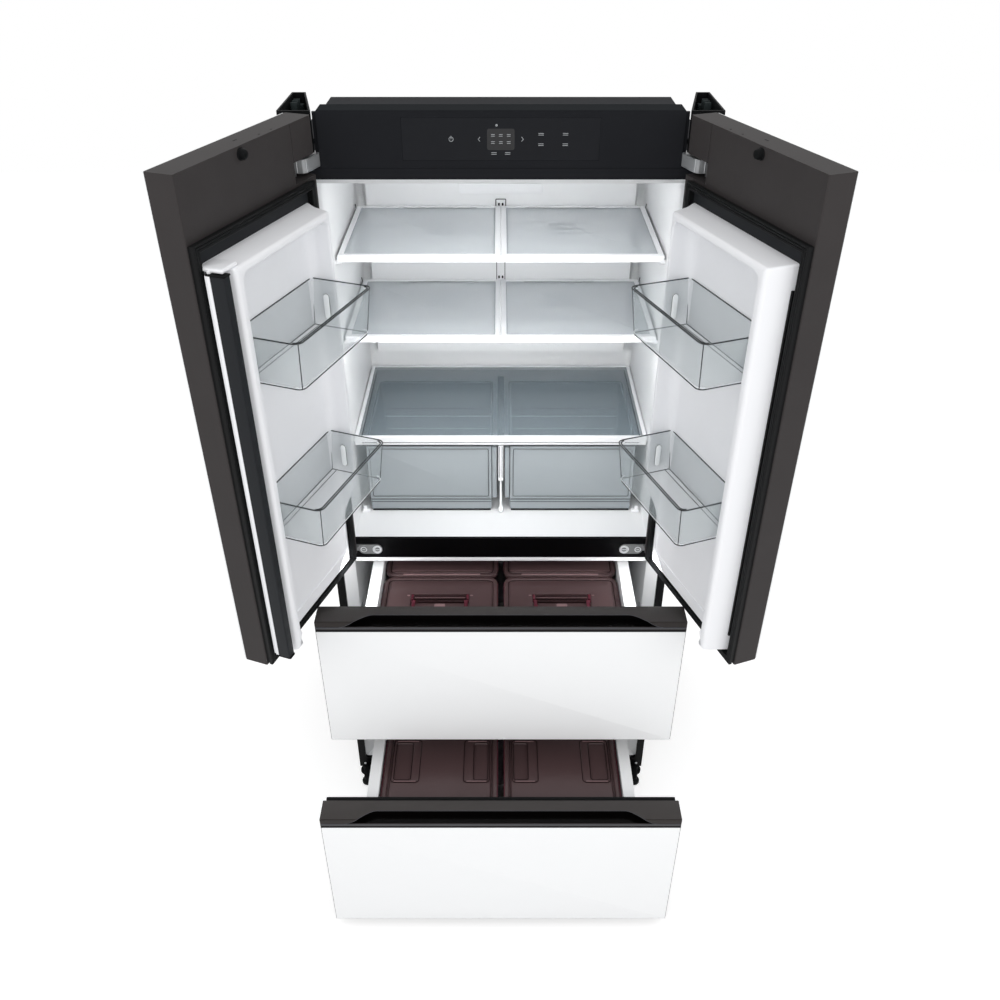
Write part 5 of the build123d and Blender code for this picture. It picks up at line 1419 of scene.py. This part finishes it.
    def standard_lines(self):
        """Painted shade on the standard above and between the shelves: dark outlines and
        keyholes.
        """
        turn = np.linspace(0, np.pi, 9)
        arch = np.stack((10.4 + 1.8 * np.cos(turn[:5]), 1551 + 1.8 * np.sin(turn[:5]),
                         np.full(5, 484)), -1)
        upper = np.vstack(((12.2, 1534, 484), arch, arch[::-1] * (-1, 1, 1), (-12.2, 1534, 484)))
        parts = [rod(FACING, upper, 1.1, sides=6)]
        parts += [wire(FACING, (x, 1345, 484.4), (x, 1392, 484.4), 0.9, 6)
                  for x in (-10.6, 10.6)]
        holes = [((x - 2.2, x + 2.2, z - 3.6, z + 3.6), 483.6, 485.4, 2, 0.4)
                 for z in (1540, 1352) for x in (-4.6, 4.6)]
        return joined(*parts, slabs(FACING, *holes))

    def header_front(self):
        """Full-width face of the header between the corner covers."""
        return slab(FACING, (-353.4, 353.4, 1763.6, 1861.6), 4.5, 10, 1.5, 1)

    def header_line(self):
        """Thin lit lines along the top edge of the header and over its foot."""
        return joined(*[wire(FACING, (-reach, z, 4.6), (reach, z, 4.3), size, 12)
                        for reach, z, size in ((353, 1861.4, 0.7), (342, 1757.4, 0.6))])


class REFRIGERATOR_OT_header(StepOperator):
    """Generic marks on the display."""

    bl_idname = "refrigerator.header"
    bl_label = "Header"

    def execute(self, context):
        make_piece("display_marks", self.marks(), "marks", "cabinet", "display_black")
        make_piece("display_window", self.window(), "window", "cabinet", "display_black")
        return {"FINISHED"}

    def window(self):
        """The display's lit field, a thin rounded block."""
        return slab(FACING, (-26, 26, 1793, 1832), -0.1, 0.1, 4, 0.05)

    def marks(self):
        """Dot, ring, chevrons and short bars, all generic."""
        face = -0.15
        parts = [outline(FACING, (-98, -90, 1809, 1817), 4, face, 0.4, 8),
                 wire(FACING, (-94, 1813, face), (-94, 1819, face), 0.4, 4, 8),
                 outline(FACING, (-9.4, -6.6, 1836.6, 1839.4), 1.4, face, 0.7, 8)]
        for x, lean in ((-41, -3.5), (41, 3.5)):
            path = ((x - lean / 2, 1817, face), (x + lean / 2, 1813, face),
                    (x - lean / 2, 1809, face))
            parts.append(rod(FACING, path, 0.45))
        bars = [(x, z, 5) for x in (-13, 13) for z in (1787,)]
        bars += [(x, z, 5) for x in (76, 122) for z in (1822, 1803)]
        bars += [(x, z, 3.4) for x in (-15, 0, 15) for z in (1820, 1807)]
        for x, z, half in bars:
            for drop in (-1.5, 1.5):
                ends = (x - half, z + drop, face), (x + half, z + drop, face)
                parts.append(wire(FACING, *ends, 0.45, 3))
        return joined(*parts)


class REFRIGERATOR_PT_steps(bpy.types.Panel):
    """Lists the steps and the settings in the sidebar."""

    bl_idname = "REFRIGERATOR_PT_steps"
    bl_label = "Refrigerator"
    bl_space_type = "VIEW_3D"
    bl_region_type = "UI"
    bl_category = "Refrigerator"

    def draw(self, context):
        column = self.layout.column()
        for step in STEPS:
            column.operator(step.bl_idname)
        for settings in (context.scene.refrigerator_sizes, context.scene.refrigerator_colours):
            for name in settings.bl_rna.properties.keys():
                if name not in ("rna_type", "name"):
                    column.prop(settings, name)


STEPS = (
    REFRIGERATOR_OT_stage,
    REFRIGERATOR_OT_finishes,
    REFRIGERATOR_OT_doors,
    REFRIGERATOR_OT_door_liners,
    REFRIGERATOR_OT_centre_seal,
    REFRIGERATOR_OT_door_baskets,
    REFRIGERATOR_OT_shelves,
    REFRIGERATOR_OT_crispers,
    REFRIGERATOR_OT_drawer_fronts,
    REFRIGERATOR_OT_storage_boxes,
    REFRIGERATOR_OT_cabinet,
    REFRIGERATOR_OT_header,
)
CLASSES = (RefrigeratorColours, RefrigeratorSizes, *STEPS, REFRIGERATOR_PT_steps)


def register():
    """Registers the classes and hangs the settings on the scene."""
    for cls in CLASSES:
        bpy.utils.register_class(cls)
    bpy.types.Scene.refrigerator_colours = PointerProperty(type=RefrigeratorColours)
    bpy.types.Scene.refrigerator_sizes = PointerProperty(type=RefrigeratorSizes)


def unregister():
    """Takes the settings and the classes away again."""
    del bpy.types.Scene.refrigerator_sizes
    del bpy.types.Scene.refrigerator_colours
    for cls in reversed(CLASSES):
        bpy.utils.unregister_class(cls)


def main():
    """Runs the steps in order."""
    register()
    for step in STEPS:
        group, name = step.bl_idname.split(".")
        getattr(getattr(bpy.ops, group), name)()


if __name__ == "__main__":
    main()
